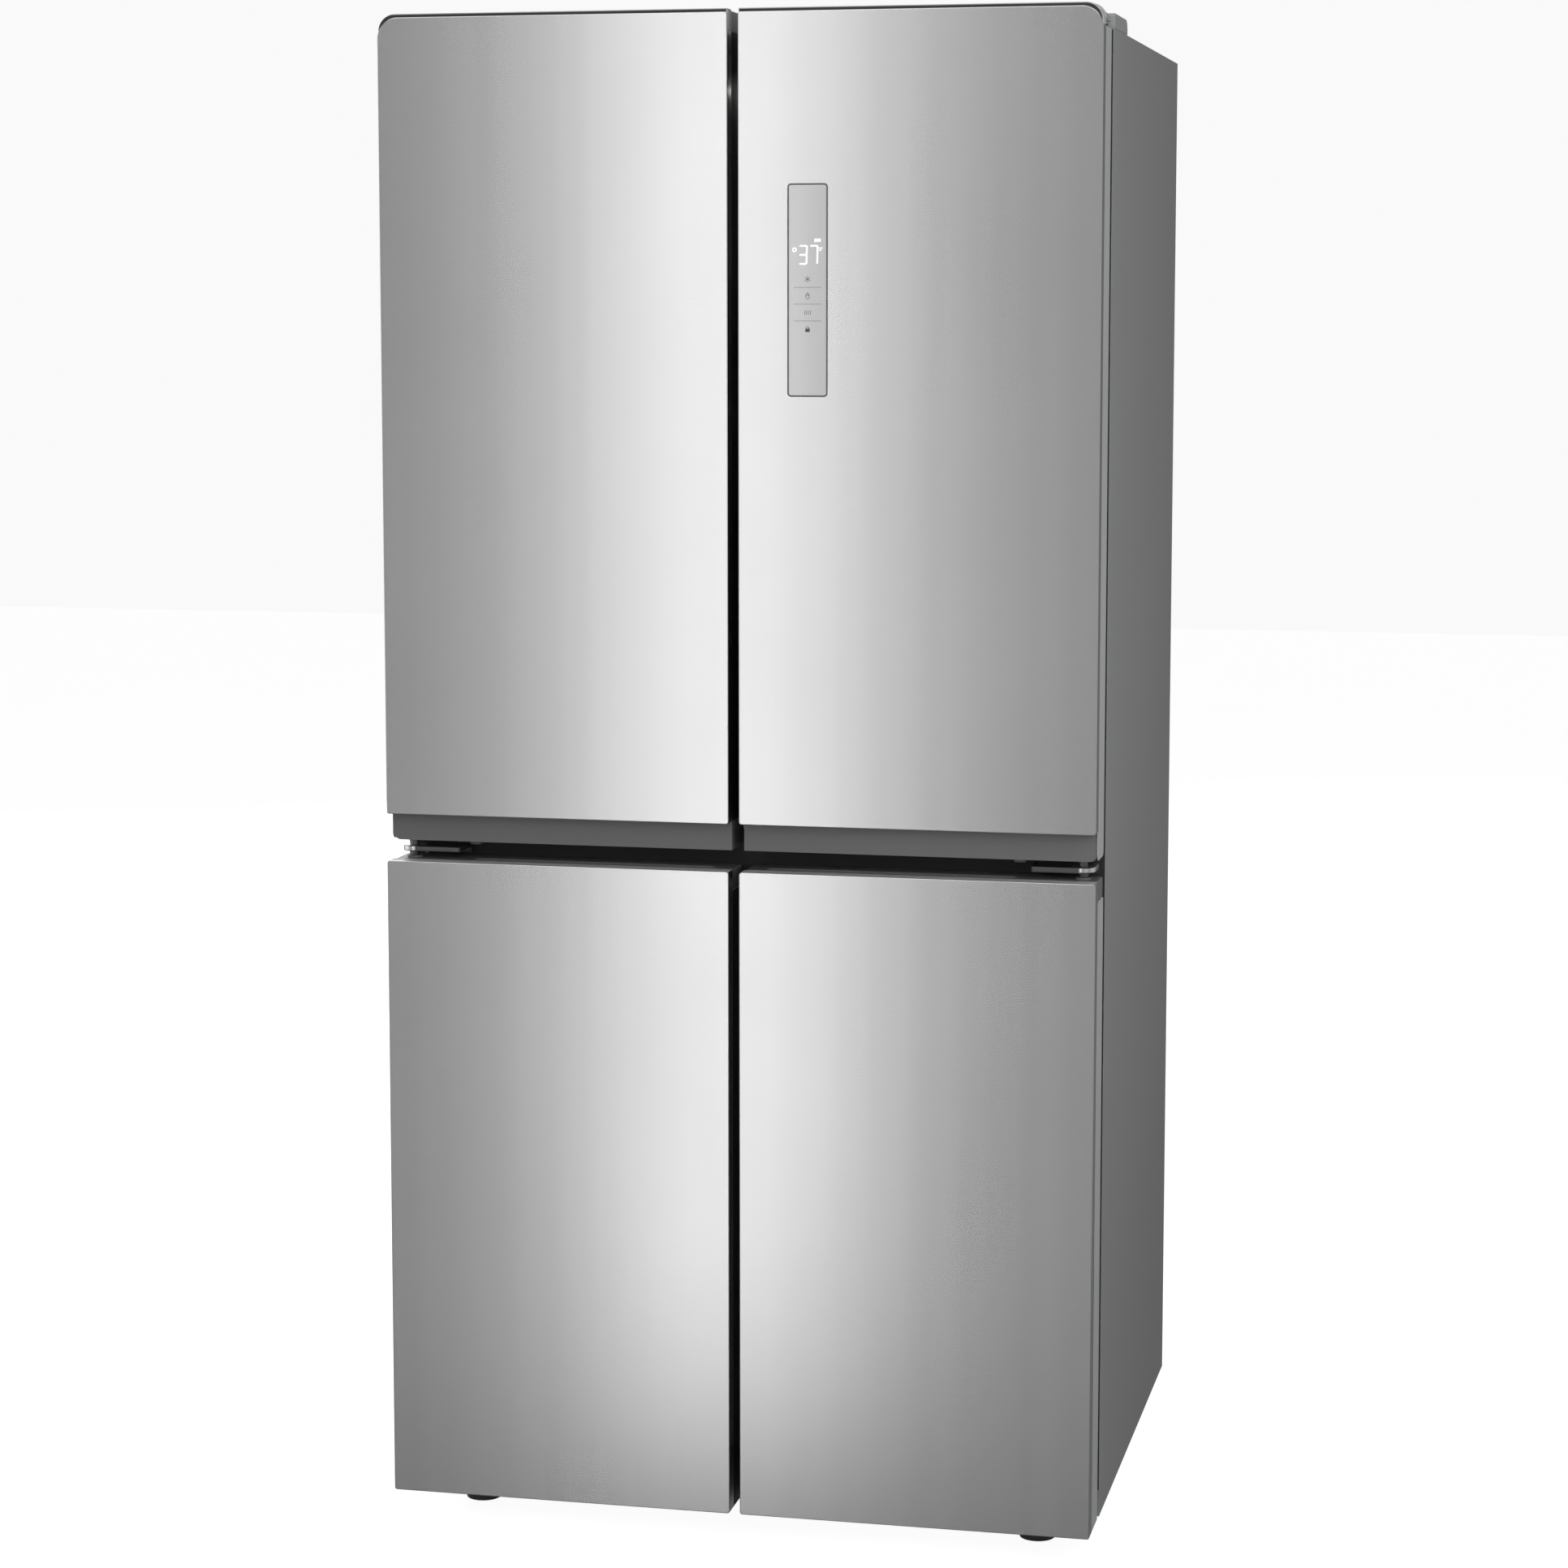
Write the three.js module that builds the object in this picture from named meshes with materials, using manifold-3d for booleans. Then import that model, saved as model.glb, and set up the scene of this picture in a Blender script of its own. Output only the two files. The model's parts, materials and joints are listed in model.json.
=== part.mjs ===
// A counter-depth four-door refrigerator: two tall upper doors that close on a folding mullion,
// two lower freezer doors, and everything that hangs, slides or turns inside.
// Millimetres. X runs left to right, Z up. Inside the outer group Y is the depth behind the
// front face of the doors, so the whole object reads like a section drawing from front to back.

import * as THREE from 'three';
import { mergeVertices } from 'three/addons/utils/BufferGeometryUtils.js';
import Module from 'manifold-3d';

const wasm = await Module();
wasm.setup();

// ---------------------------------------------------------------- driving dimensions

const WIDTH = 833;
const DEPTH = 710;
const HEIGHT = 1771;
const FIT = 0.3; // clearance between pieces that touch
const SHEET = 1; // steel sheet of the cabinet and the door skins

const HALF = WIDTH / 2;
const CABINET_FRONT = 84;
const CABINET_BOTTOM = 38;
const CABINET_TOP = 1748;

const DOOR_GAP = 12; // between a left door and a right door
const SKIN_DEPTH = 20;
const DOOR_DEPTH = 70;
const DOOR_INSET = 1.3; // how far the door core stands inside the outline of its skin
const UPPER_SKIN = [851, HEIGHT];
const LOWER_SKIN = [CABINET_BOTTOM, 796];
const GRIP_BOTTOM = 818;
const CAP_HEIGHT = 23.4;

const HINGE_X = HALF - 20;
const HINGE_Y = 45;
const PIN_RADIUS = 5;
const BORE_RADIUS = 5.5;
const MID_HINGE_Z = [803, 809];
const LOW_HINGE_Z = [27, 31];
const TOP_HINGE_Z = [CABINET_TOP + FIT, CABINET_TOP + 4.3];

const LINER = 1.6;
const ROOM_HALF = 368; // half the inside width of both compartments
const ROOM_BACK = 643;
const FRESH = [842, 1700];
const FREEZER = [95, 770];
const STEP_Z = 290; // the freezer floor rises over the machine space
const STEP_Y = 450;
const MACHINE = { half: 400, front: 502, top: 240 };

const SHELF_LEVELS = { glass_shelf_upper: 1470, glass_shelf_lower: 1250, crisper_cover: 1040 };
const SHELF_Y = [215, 620];
const SHELF_RAIL = { y: [150, 620], depth: 7 };
const GLASS = 4;
const DIVIDER_HALF = 28;
const DRAWER_RAIL = { y: [150, 560], depth: 6, width: 10 };
const DRAWER_FRONT = 155;
const DRAWER_BANDS = [[552, 752], [322, 542], [95.6, 282]];
const CRISPER = { x: [4, 356], y: [232, 600], z: [843, 1028] };
const PLASTIC = 2.5; // wall of the drawers and bins
const DUCT_Y = [569, 573];
const FAN = { x: 190, z: 700, radius: 47 };
const COIL = { half: 300, y: [583, 635], z: [330, 610], pitch: 40, slot: 30 };
const COMPRESSOR_AT = [-210, 606, 54];

const DYKE = { x: [45, 366], depth: 88 }; // the raised inner face that the bins hang on
const UPPER_DYKE_Z = [860, 1690];
const LOWER_DYKE_Z = [105, 760];
const MULLION_AXIS = [-31, 92];
const MULLION_Z = [874.5, 1675.5];
const BIN = { x: [60, 352], back: 180, height: 105 };
const BIN_LEVELS = { bin_upper: 1240, bin_lower: 900 };
const FOOT = [340, 112];
const ROLLER = { x: 340, y: 640, radius: 18.5, width: 22 };

// ---------------------------------------------------------------- finishes

const finish = (color, roughness, metalness, extra = {}) =>
  new THREE.MeshStandardMaterial({ color, roughness, metalness, ...extra });

const FINISHES = {
  brushed: finish(0xb9babb, 0.32, 1),
  painted: finish(0x8d8f91, 0.45, 0.6),
  zinc: finish(0xa9adaf, 0.4, 0.9),
  bright: finish(0xd0d2d4, 0.2, 1),
  doorTrim: finish(0x6c6d6f, 0.5, 0.1),
  coverGrey: finish(0xa2a4a6, 0.5, 0.1),
  linerWhite: finish(0xeef0f0, 0.35, 0),
  foam: finish(0xe7d9a5, 0.9, 0),
  gasket: finish(0x3a3b3c, 0.7, 0),
  clear: finish(0xdfe8ea, 0.08, 0, { transparent: true, opacity: 0.4 }),
  frosted: finish(0xe4eaec, 0.25, 0, { transparent: true, opacity: 0.7 }),
  display: finish(0xc4c6c8, 0.12, 0.2),
  black: finish(0x1b1c1d, 0.6, 0),
  fins: finish(0xc6c9cb, 0.35, 0.9),
};

// ---------------------------------------------------------------- shape helpers

function block([x0, x1], [y0, y1], [z0, z1]) {
  const box = new THREE.BoxGeometry(Math.abs(x1 - x0), Math.abs(y1 - y0), Math.abs(z1 - z0));
  return box.translate((x0 + x1) / 2, (y0 + y1) / 2, (z0 + z1) / 2);
}

function upright(radius, [x, y], [z0, z1], sides = 24) {
  const rod = new THREE.CylinderGeometry(radius, radius, z1 - z0, sides);
  return rod.rotateX(Math.PI / 2).translate(x, y, (z0 + z1) / 2);
}

function crosswise(radius, [x0, x1], [y, z], sides = 24) {
  const rod = new THREE.CylinderGeometry(radius, radius, x1 - x0, sides);
  return rod.rotateZ(Math.PI / 2).translate((x0 + x1) / 2, y, z);
}

function lengthwise(radius, [x, z], [y0, y1], sides = 24) {
  const rod = new THREE.CylinderGeometry(radius, radius, y1 - y0, sides);
  return rod.translate(x, (y0 + y1) / 2, z);
}

// A rectangle with its own radius at each corner, given as [low-low, high-low, high-high, low-high].
function outline([u0, u1], [v0, v1], radii = [0, 0, 0, 0]) {
  const [lowU, highU] = [Math.min(u0, u1), Math.max(u0, u1)];
  const corners = [[lowU, v0], [highU, v0], [highU, v1], [lowU, v1]];
  const shape = new THREE.Shape();
  corners.forEach(([u, v], i) => {
    const radius = radii[i];
    const centreU = u + (u === lowU ? radius : -radius);
    const centreV = v + (v === v0 ? radius : -radius);
    const start = Math.PI + (i * Math.PI) / 2;
    if (radius === 0) {
      shape[i === 0 ? 'moveTo' : 'lineTo'](u, v);
    } else {
      shape.absarc(centreU, centreV, radius, start, start + Math.PI / 2, false);
    }
  });
  return shape;
}

const PLANES = {
  xy: [new THREE.Vector3(1, 0, 0), new THREE.Vector3(0, 1, 0), new THREE.Vector3(0, 0, 1)],
  yz: [new THREE.Vector3(0, 1, 0), new THREE.Vector3(0, 0, 1), new THREE.Vector3(1, 0, 0)],
  xz: [new THREE.Vector3(1, 0, 0), new THREE.Vector3(0, 0, 1), new THREE.Vector3(0, -1, 0)],
};

// Extrudes a shape that is drawn in one of the three planes from one depth to another.
function extrude(shape, plane, [from, to]) {
  const body = new THREE.ExtrudeGeometry(shape, {
    depth: to - from,
    bevelEnabled: false,
    curveSegments: 6,
  });
  const normal = PLANES[plane][2];
  const start = plane === 'xz' ? to : from;
  body.applyMatrix4(new THREE.Matrix4().makeBasis(...PLANES[plane]));
  return body.translate(...normal.clone().multiply(normal).multiplyScalar(start).toArray());
}

function toSolid(geometry) {
  const bare = geometry.clone();
  bare.deleteAttribute('normal');
  bare.deleteAttribute('uv');
  const welded = mergeVertices(bare, 1e-4);
  return new wasm.Manifold(new wasm.Mesh({
    numProp: 3,
    vertProperties: new Float32Array(welded.attributes.position.array),
    triVerts: new Uint32Array(welded.index.array),
  }));
}

function toGeometry(solid) {
  const { vertProperties, triVerts } = solid.getMesh();
  const geometry = new THREE.BufferGeometry();
  geometry.setAttribute('position', new THREE.BufferAttribute(vertProperties, 3));
  geometry.setIndex(new THREE.BufferAttribute(triVerts, 1));
  geometry.computeVertexNormals();
  return geometry;
}

function join(...geometries) {
  return toGeometry(geometries.map(toSolid).reduce((sum, next) => sum.add(next)));
}

function cut(geometry, ...tools) {
  return toGeometry(tools.map(toSolid).reduce((rest, tool) => rest.subtract(tool), toSolid(geometry)));
}

// A box that is open at the top, with equal walls and floor.
function tray([x0, x1], [y0, y1], [z0, z1], wall) {
  const [lowX, highX] = [Math.min(x0, x1), Math.max(x0, x1)];
  const inside = block([lowX + wall, highX - wall], [y0 + wall, y1 - wall], [z0 + wall, z1 + wall]);
  return cut(block([lowX, highX], [y0, y1], [z0, z1]), inside);
}

const refrigerator = new THREE.Group();
refrigerator.position.y = -DEPTH / 2;

function add(name, geometry, finishName, group) {
  const mesh = new THREE.Mesh(geometry, FINISHES[finishName]);
  mesh.name = name;
  group.add(mesh);
}

const newGroup = () => {
  const group = new THREE.Group();
  refrigerator.add(group);
  return group;
};

const SIDES = { left: -1, right: 1 };
const grown = ([low, high], by) => [low - by, high + by];
const both = (half) => [-half, half];

// ---------------------------------------------------------------- cabinet

const cabinet = newGroup();
const FLANGE = 24; // painted border round the front of the cabinet
const OUTER_BACK = 708.5;
const LINER_RIM = [CABINET_FRONT, CABINET_FRONT + LINER];
const RIM_HALF = HALF - FLANGE - FIT;

function cabinetShell() {
  const outer = block(both(HALF), [CABINET_FRONT, OUTER_BACK], [CABINET_BOTTOM, CABINET_TOP]);
  const hollow = block(both(HALF - SHEET), [CABINET_FRONT + SHEET, DEPTH], [0, CABINET_TOP - SHEET]);
  const mouth = block(both(HALF - FLANGE), [0, DEPTH], [0, CABINET_TOP - FLANGE]);
  return cut(outer, hollow, mouth);
}

function freezerRoom(by) {
  const deep = block(both(ROOM_HALF + by), [0, ROOM_BACK + by], [STEP_Z - by, FREEZER[1] + by]);
  const low = block(both(ROOM_HALF + by), [0, STEP_Y + by], [FREEZER[0] - by, FREEZER[1] + by]);
  return join(deep, low);
}

const freshRoom = (by) => block(both(ROOM_HALF + by), [0, ROOM_BACK + by], grown(FRESH, by));

function cabinetFoam() {
  const core = block(
    both(HALF - SHEET - FIT),
    [LINER_RIM[1] + FIT, OUTER_BACK - FIT],
    [CABINET_BOTTOM + 1.4, CABINET_TOP - SHEET - 0.4],
  );
  const machineSpace = block(both(MACHINE.half), [MACHINE.front, DEPTH], [0, MACHINE.top]);
  return cut(core, freshRoom(LINER + FIT), freezerRoom(LINER + FIT), machineSpace);
}

// Ledges moulded into both side walls of a room, with their tops at the given levels.
function ledges(levels, { y, depth }) {
  return levels.flatMap((level) => [-1, 1].map((side) => (
    block([side * (ROOM_HALF - 10), side * (ROOM_HALF + 1)], y, [level - depth, level])
  )));
}

function liner(room, rimZ, rails) {
  const rim = block(both(RIM_HALF), LINER_RIM, rimZ);
  const mouth = block([-2 * WIDTH, 2 * WIDTH], [-DEPTH, CABINET_FRONT], [0, 2 * HEIGHT]);
  return join(cut(join(room(LINER), rim), room(0), mouth), ...rails);
}

const BACK_SHEET = [OUTER_BACK + FIT, DEPTH];
const DRAWER_RAIL_TOPS = [DRAWER_BANDS[0][0] - FIT, DRAWER_BANDS[1][0] - FIT];
const CENTRE_RAIL_Z = [776, 835.6];
const FRESH_RIM_Z = [CENTRE_RAIL_Z[1] + 0.4, CABINET_TOP - FLANGE - FIT];
const FREEZER_RIM_Z = [FREEZER[0] - LINER, CENTRE_RAIL_Z[0] - 0.4];

function freshLiner() {
  return liner(freshRoom, FRESH_RIM_Z, ledges(Object.values(SHELF_LEVELS), SHELF_RAIL));
}

function freezerLiner() {
  return liner(freezerRoom, FREEZER_RIM_Z, ledges(DRAWER_RAIL_TOPS, DRAWER_RAIL));
}

add('cabinet_shell', cabinetShell(), 'painted', cabinet);
add('rear_panel', block(both(HALF), BACK_SHEET, [MACHINE.top, CABINET_TOP]), 'zinc', cabinet);
add('cabinet_foam', cabinetFoam(), 'foam', cabinet);
add('fresh_liner', freshLiner(), 'linerWhite', cabinet);
add('freezer_liner', freezerLiner(), 'linerWhite', cabinet);
add('centre_rail', block(both(RIM_HALF), LINER_RIM, CENTRE_RAIL_Z), 'painted', cabinet);

function freezerDivider() {
  const x = both(DIVIDER_HALF);
  const top = FREEZER[1] - FIT;
  const high = block(x, [CABINET_FRONT, DUCT_Y[0] - FIT], [STEP_Z + FIT, top]);
  const low = block(x, [CABINET_FRONT, STEP_Y - FIT], [FREEZER[0] + FIT, top]);
  const { y, depth, width } = DRAWER_RAIL;
  const rails = DRAWER_RAIL_TOPS.map((level) => block(grown(x, width), y, [level - depth, level]));
  return join(high, low, ...rails);
}

const VENT = { x: [90, 170], levels: [620, 390], height: 14 };
const SPINDLE_RADIUS = 3;

function freezerDuctCover() {
  const [near, far] = DUCT_Y;
  const axis = [FAN.x, FAN.z];
  const plate = block(both(ROOM_HALF - FIT), DUCT_Y, [STEP_Z + FIT, FREEZER[1] - FIT]);
  const fanMouth = lengthwise(FAN.radius + 4, axis, grown(DUCT_Y, 1), 32);
  const vents = [-1, 1].flatMap((side) => VENT.levels.map((z) => (
    block([side * VENT.x[0], side * VENT.x[1]], grown(DUCT_Y, 1), [z, z + VENT.height])
  )));
  const boss = lengthwise(12, axis, DUCT_Y);
  const spindle = lengthwise(SPINDLE_RADIUS, axis, [near + 1, far + 26], 16);
  const reach = FAN.radius + 10;
  const arms = [0, 1, 2].map((i) => {
    const arm = new THREE.BoxGeometry(6, far - near, reach);
    arm.translate(0, 0, reach / 2);
    return arm.rotateY((i * 2 * Math.PI) / 3).translate(FAN.x, (near + far) / 2, FAN.z);
  });
  return join(cut(plate, fanMouth, ...vents), boss, spindle, ...arms);
}

add('freezer_divider', freezerDivider(), 'linerWhite', cabinet);
add('freezer_duct_cover', freezerDuctCover(), 'linerWhite', cabinet);

for (const [name, level] of Object.entries(SHELF_LEVELS)) {
  add(name, block(both(ROOM_HALF - 1.5), SHELF_Y, [level + FIT, level + FIT + GLASS]), 'clear', cabinet);
}

function evaporator() {
  const { half, y, z, pitch, slot } = COIL;
  const middle = (z[0] + z[1]) / 2;
  const gaps = [];
  for (let x = pitch / 2 - half; x < half - slot; x += pitch) {
    for (const span of [[z[0] + 20, middle - 20], [middle + 20, z[1] - 20]]) {
      gaps.push(block([x, x + slot], grown(y, 4), span));
    }
  }
  return cut(block(both(half), y, z), ...gaps);
}

function compressor() {
  const profile = [[0, 0], [62, 0], [74, 12], [76, 60], [74, 100], [60, 132], [34, 148], [0, 152]];
  const points = profile.map(([radius, z]) => new THREE.Vector2(radius, z));
  const shell = new THREE.LatheGeometry(points, 24).rotateX(Math.PI / 2);
  const plate = block(both(92), both(62), [-6, 2]);
  return join(shell, plate).translate(...COMPRESSOR_AT);
}

const LOUVRE = { count: 9, first: 80, pitch: 32, width: 12, z: [90, 190] };

function machineCover() {
  const sheet = block(both(HALF), BACK_SHEET, [CABINET_BOTTOM, MACHINE.top - FIT]);
  const { count, first, pitch, width, z } = LOUVRE;
  const slots = [];
  for (const side of [-1, 1]) {
    for (let i = 0; i < count; i += 1) {
      const near = first + i * pitch;
      slots.push(block([side * near, side * (near + width)], grown(BACK_SHEET, 3), z));
    }
  }
  return cut(sheet, ...slots);
}

add('evaporator', evaporator(), 'fins', cabinet);
add('compressor', compressor(), 'black', cabinet);
add('machine_cover', machineCover(), 'zinc', cabinet);

const AXLE_RADIUS = 4;

function basePan() {
  const floorZ = [CABINET_BOTTOM, CABINET_BOTTOM + 1.1];
  const floor = block(both(HALF - SHEET - FIT), [CABINET_FRONT + SHEET + FIT, 706], floorZ);
  const lip = block(both(RIM_HALF), [CABINET_FRONT, 120], floorZ);
  const apronZ = [CABINET_BOTTOM, FREEZER[0] - 2];
  const apron = block(both(RIM_HALF), [CABINET_FRONT, CABINET_FRONT + 1.2], apronZ);
  const parts = [floor, lip, apron];
  const bores = [];
  const weld = CABINET_BOTTOM + 0.5;
  for (const side of [-1, 1]) {
    const foot = [side * FOOT[0], FOOT[1]];
    parts.push(upright(10, foot, [24, weld]));
    bores.push(upright(PIN_RADIUS + 0.4, foot, [10, 37.4]));
    const near = side * (ROLLER.x - ROLLER.width / 2);
    const far = side * (ROLLER.x + ROLLER.width / 2);
    for (const [x0, x1] of [[near - side * 4, near - side], [far + side, far + side * 4]]) {
      parts.push(block([x0, x1], grown([ROLLER.y, ROLLER.y], 14), [9, weld]));
    }
    const axleEnds = [near - side * 4, far + side * 4].sort((a, b) => a - b);
    parts.push(crosswise(AXLE_RADIUS, axleEnds, [ROLLER.y, ROLLER.radius], 16));
  }
  return cut(join(...parts), ...bores);
}

add('base_pan', basePan(), 'zinc', cabinet);

// ---------------------------------------------------------------- hinges and their covers

const nearAxis = (side, reach) => [side * (HINGE_X - reach), side * (HINGE_X + reach)];

const HINGE_INNER = 338; // where the hinge plates and covers begin, from the middle
const HINGE_TIP = 13.5;
const TAB_Y = [CABINET_FRONT - 2.8, CABINET_FRONT - FIT]; // the plate's flange on the cabinet

// A flat hinge plate with its rounded tip under the door's outer corner.
function hingePlate(side, z) {
  const radii = side > 0 ? [3, HINGE_TIP, 0, 0] : [HINGE_TIP, 3, 0, 0];
  const x = [side * HINGE_INNER, side * (HINGE_X + HINGE_TIP)];
  return extrude(outline(x, [HINGE_Y - 12, TAB_Y[1]], radii), 'xy', z);
}

function middleHinge(side) {
  const pin = upright(PIN_RADIUS, [side * HINGE_X, HINGE_Y], [782, 832]);
  const tab = block([side * HINGE_INNER, side * 410], TAB_Y, grown(MID_HINGE_Z, 7));
  return join(hingePlate(side, MID_HINGE_Z), tab, pin);
}

function bottomHinge(side) {
  const [bottom] = LOW_HINGE_Z;
  const pin = upright(PIN_RADIUS, [side * HINGE_X, HINGE_Y], [bottom + 1, 58]);
  const tab = block([side * HINGE_INNER, side * 392], TAB_Y, [bottom, 66]);
  return join(hingePlate(side, LOW_HINGE_Z), tab, pin);
}

function topHinge(side) {
  const axis = [side * HINGE_X, HINGE_Y];
  const base = block([side * 346, side * 410], [99, 196], TOP_HINGE_Z);
  const arm = block(nearAxis(side, 10), [HINGE_Y, 100], TOP_HINGE_Z);
  const tip = upright(10, axis, TOP_HINGE_Z);
  return join(base, arm, tip, upright(PIN_RADIUS, axis, [1724, TOP_HINGE_Z[1] - 1]));
}

function hingeCover(side) {
  const across = [side * HINGE_INNER, side * HALF].sort((a, b) => a - b);
  const [y, roof, wall] = [[95, 205], 1765, 2];
  const profile = outline(y, [CABINET_TOP + FIT, roof], [0, 0, 13, 3]);
  const inner = outline(grown(y, -wall), [CABINET_TOP - 5, roof - wall], [0, 0, 11, 1]);
  const outer = extrude(profile, 'yz', across);
  const hollow = extrude(inner, 'yz', grown(across, -wall));
  const armSlot = block(nearAxis(side, 11.5), [90, 100], [CABINET_TOP, TOP_HINGE_Z[1] + 1]);
  return cut(outer, hollow, armSlot);
}

for (const [label, side] of Object.entries(SIDES)) {
  add(`top_hinge_${label}`, topHinge(side), 'bright', cabinet);
  add(`hinge_cover_${label}`, hingeCover(side), 'coverGrey', cabinet);
  add(`middle_hinge_${label}`, middleHinge(side), 'bright', cabinet);
  add(`bottom_hinge_${label}`, bottomHinge(side), 'zinc', cabinet);
}

// ---------------------------------------------------------------- feet, rollers and fan

function levellingFoot(side) {
  const at = [side * FOOT[0], FOOT[1]];
  const pad = upright(21, at, [0, 9], 32);
  const hexagon = upright(12, at, [8, 16], 6);
  return join(pad, hexagon, upright(PIN_RADIUS, at, [15, 37]));
}

function rearRoller(side) {
  const centre = [side * ROLLER.x, side * ROLLER.x];
  const axis = [ROLLER.y, ROLLER.radius];
  const tyre = crosswise(ROLLER.radius, grown(centre, ROLLER.width / 2 - FIT), axis, 32);
  return cut(tyre, crosswise(AXLE_RADIUS + 0.4, grown(centre, 20), axis, 16));
}

function evaporatorFan() {
  const span = [DUCT_Y[1] + 3, DUCT_Y[1] + 20];
  const hub = lengthwise(14, [0, 0], span);
  const blades = [0, 1, 2, 3, 4].map((i) => {
    const blade = new THREE.BoxGeometry(18, 1.8, FAN.radius - 8);
    blade.rotateZ(0.6).translate(0, 0, (FAN.radius + 8) / 2 - 0.5);
    return blade.rotateY((i * 2 * Math.PI) / 5).translate(0, (span[0] + span[1]) / 2, 0);
  });
  const bore = lengthwise(SPINDLE_RADIUS + 0.4, [0, 0], grown(span, 5), 16);
  return cut(join(hub, ...blades), bore).translate(FAN.x, 0, FAN.z);
}

for (const [label, side] of Object.entries(SIDES)) {
  add(`front_foot_${label}`, levellingFoot(side), 'black', newGroup());
  add(`rear_roller_${label}`, rearRoller(side), 'black', newGroup());
}
add('evaporator_fan', evaporatorFan(), 'black', newGroup());

// ---------------------------------------------------------------- drawers

const sided = (side, [near, far]) => [side * near, side * far];

for (const [label, side] of Object.entries(SIDES)) {
  const crisper = tray(sided(side, CRISPER.x), CRISPER.y, CRISPER.z, PLASTIC);
  add(`crisper_${label}`, crisper, 'frosted', newGroup());
  DRAWER_BANDS.forEach((band, i) => {
    const back = band[0] < STEP_Z ? STEP_Y - 10 : DUCT_Y[0] - 9;
    const across = sided(side, [DIVIDER_HALF + 3, ROOM_HALF - 3]);
    const drawer = tray(across, [DRAWER_FRONT, back], band, PLASTIC);
    add(`freezer_drawer_${label}_${i + 1}`, drawer, 'frosted', newGroup());
  });
}

// ---------------------------------------------------------------- doors

const DOOR_X = [DOOR_GAP / 2, HALF];
const CORE_X = grown(DOOR_X, -DOOR_INSET);
const GASKET_X = [8, HINGE_X - 2];
const GASKET_WIDTH = 20;
const GASKET_Y = [DOOR_DEPTH + FIT, CABINET_FRONT - FIT];
const CORNER = 20;
const WINDOW = { x: [63.2, 108.8], z: [1339, 1576] };

// Corner radii from the inner bottom corner round to the inner top one, mirrored for a left door.
function doorOutline(side, x, z, [innerLow, outerLow, outerTop, innerTop]) {
  const radii = side > 0
    ? [innerLow, outerLow, outerTop, innerTop]
    : [outerLow, innerLow, innerTop, outerTop];
  return outline(sided(side, x), z, radii);
}

// The folded steel skin: a front sheet and its returns, open at the back.
function doorSkin(side, z, outerTop) {
  const sheet = extrude(doorOutline(side, DOOR_X, z, [3, 3, outerTop, 3]), 'xz', [0, SKIN_DEPTH]);
  const innerX = grown(DOOR_X, -SHEET);
  const innerRadii = [2, 2, outerTop - SHEET, 2];
  const hollow = doorOutline(side, innerX, grown(z, -SHEET), innerRadii);
  return cut(sheet, extrude(hollow, 'xz', [SHEET, SKIN_DEPTH + 5]));
}

function doorCore(side, z, dykeZ) {
  const slab = extrude(doorOutline(side, CORE_X, z, [2, 2, 0, 0]), 'xz', [DOOR_INSET, DOOR_DEPTH]);
  return join(slab, block(sided(side, DYKE.x), [DOOR_DEPTH - 1, DYKE.depth], dykeZ));
}

function doorGasket(side, z) {
  const ring = block(sided(side, GASKET_X), GASKET_Y, z);
  const holeX = sided(side, grown(GASKET_X, -GASKET_WIDTH));
  return cut(ring, block(holeX, grown(GASKET_Y, 5), grown(z, -GASKET_WIDTH)));
}

const pinBore = (side, z) => upright(BORE_RADIUS, [side * HINGE_X, HINGE_Y], z);

function upperCap(side) {
  const z = [HEIGHT - SHEET - FIT - CAP_HEIGHT, HEIGHT - SHEET - FIT];
  const shape = doorOutline(side, CORE_X, z, [0, 0, CORNER - DOOR_INSET, 2]);
  const sweepX = sided(side, [HINGE_X - 11, HALF + 5]);
  const armSweep = block(sweepX, [24, DOOR_DEPTH + 5], [z[0] - 5, TOP_HINGE_Z[1] + 1]);
  return cut(extrude(shape, 'xz', [DOOR_INSET, DOOR_DEPTH]), armSweep);
}

function upperGrip(side) {
  const shape = doorOutline(side, CORE_X, [GRIP_BOTTOM, UPPER_SKIN[0] + 1], [2, 9, 0, 0]);
  const grip = extrude(shape, 'xz', [SKIN_DEPTH + 2, DOOR_DEPTH]);
  return cut(grip, pinBore(side, [GRIP_BOTTOM - 5, GRIP_BOTTOM + 20]));
}

// The lower door's top cap, with the long pocket that the fingers pull on.
function lowerCap(side) {
  const z = [LOWER_SKIN[1] - SHEET - FIT - CAP_HEIGHT, LOWER_SKIN[1] - SHEET - FIT];
  const slab = extrude(doorOutline(side, CORE_X, z, [0, 0, 2, 2]), 'xz', [DOOR_INSET, DOOR_DEPTH]);
  const pocketShape = outline(sided(side, [30, 322]), [24, 50], [8, 8, 8, 8]);
  const pocket = extrude(pocketShape, 'xy', [LOWER_SKIN[1] - 14, LOWER_SKIN[1] + 4]);
  return cut(slab, pocket, pinBore(side, [779, 800]));
}

function doorBin(side, level) {
  return tray(sided(side, BIN.x), [DYKE.depth + FIT, BIN.back], [level, level + BIN.height], PLASTIC);
}

function upperRightSkin() {
  const skin = doorSkin(1, UPPER_SKIN, CORNER);
  const hole = outline(grown(WINDOW.x, FIT), grown(WINDOW.z, FIT), [4, 4, 4, 4]);
  return cut(skin, extrude(hole, 'xz', [-5, 10]));
}

const displayPanel = () => extrude(outline(WINDOW.x, WINDOW.z, [4, 4, 4, 4]), 'xz', [0, 4]);

const MULLION_PIN = 2;

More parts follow.
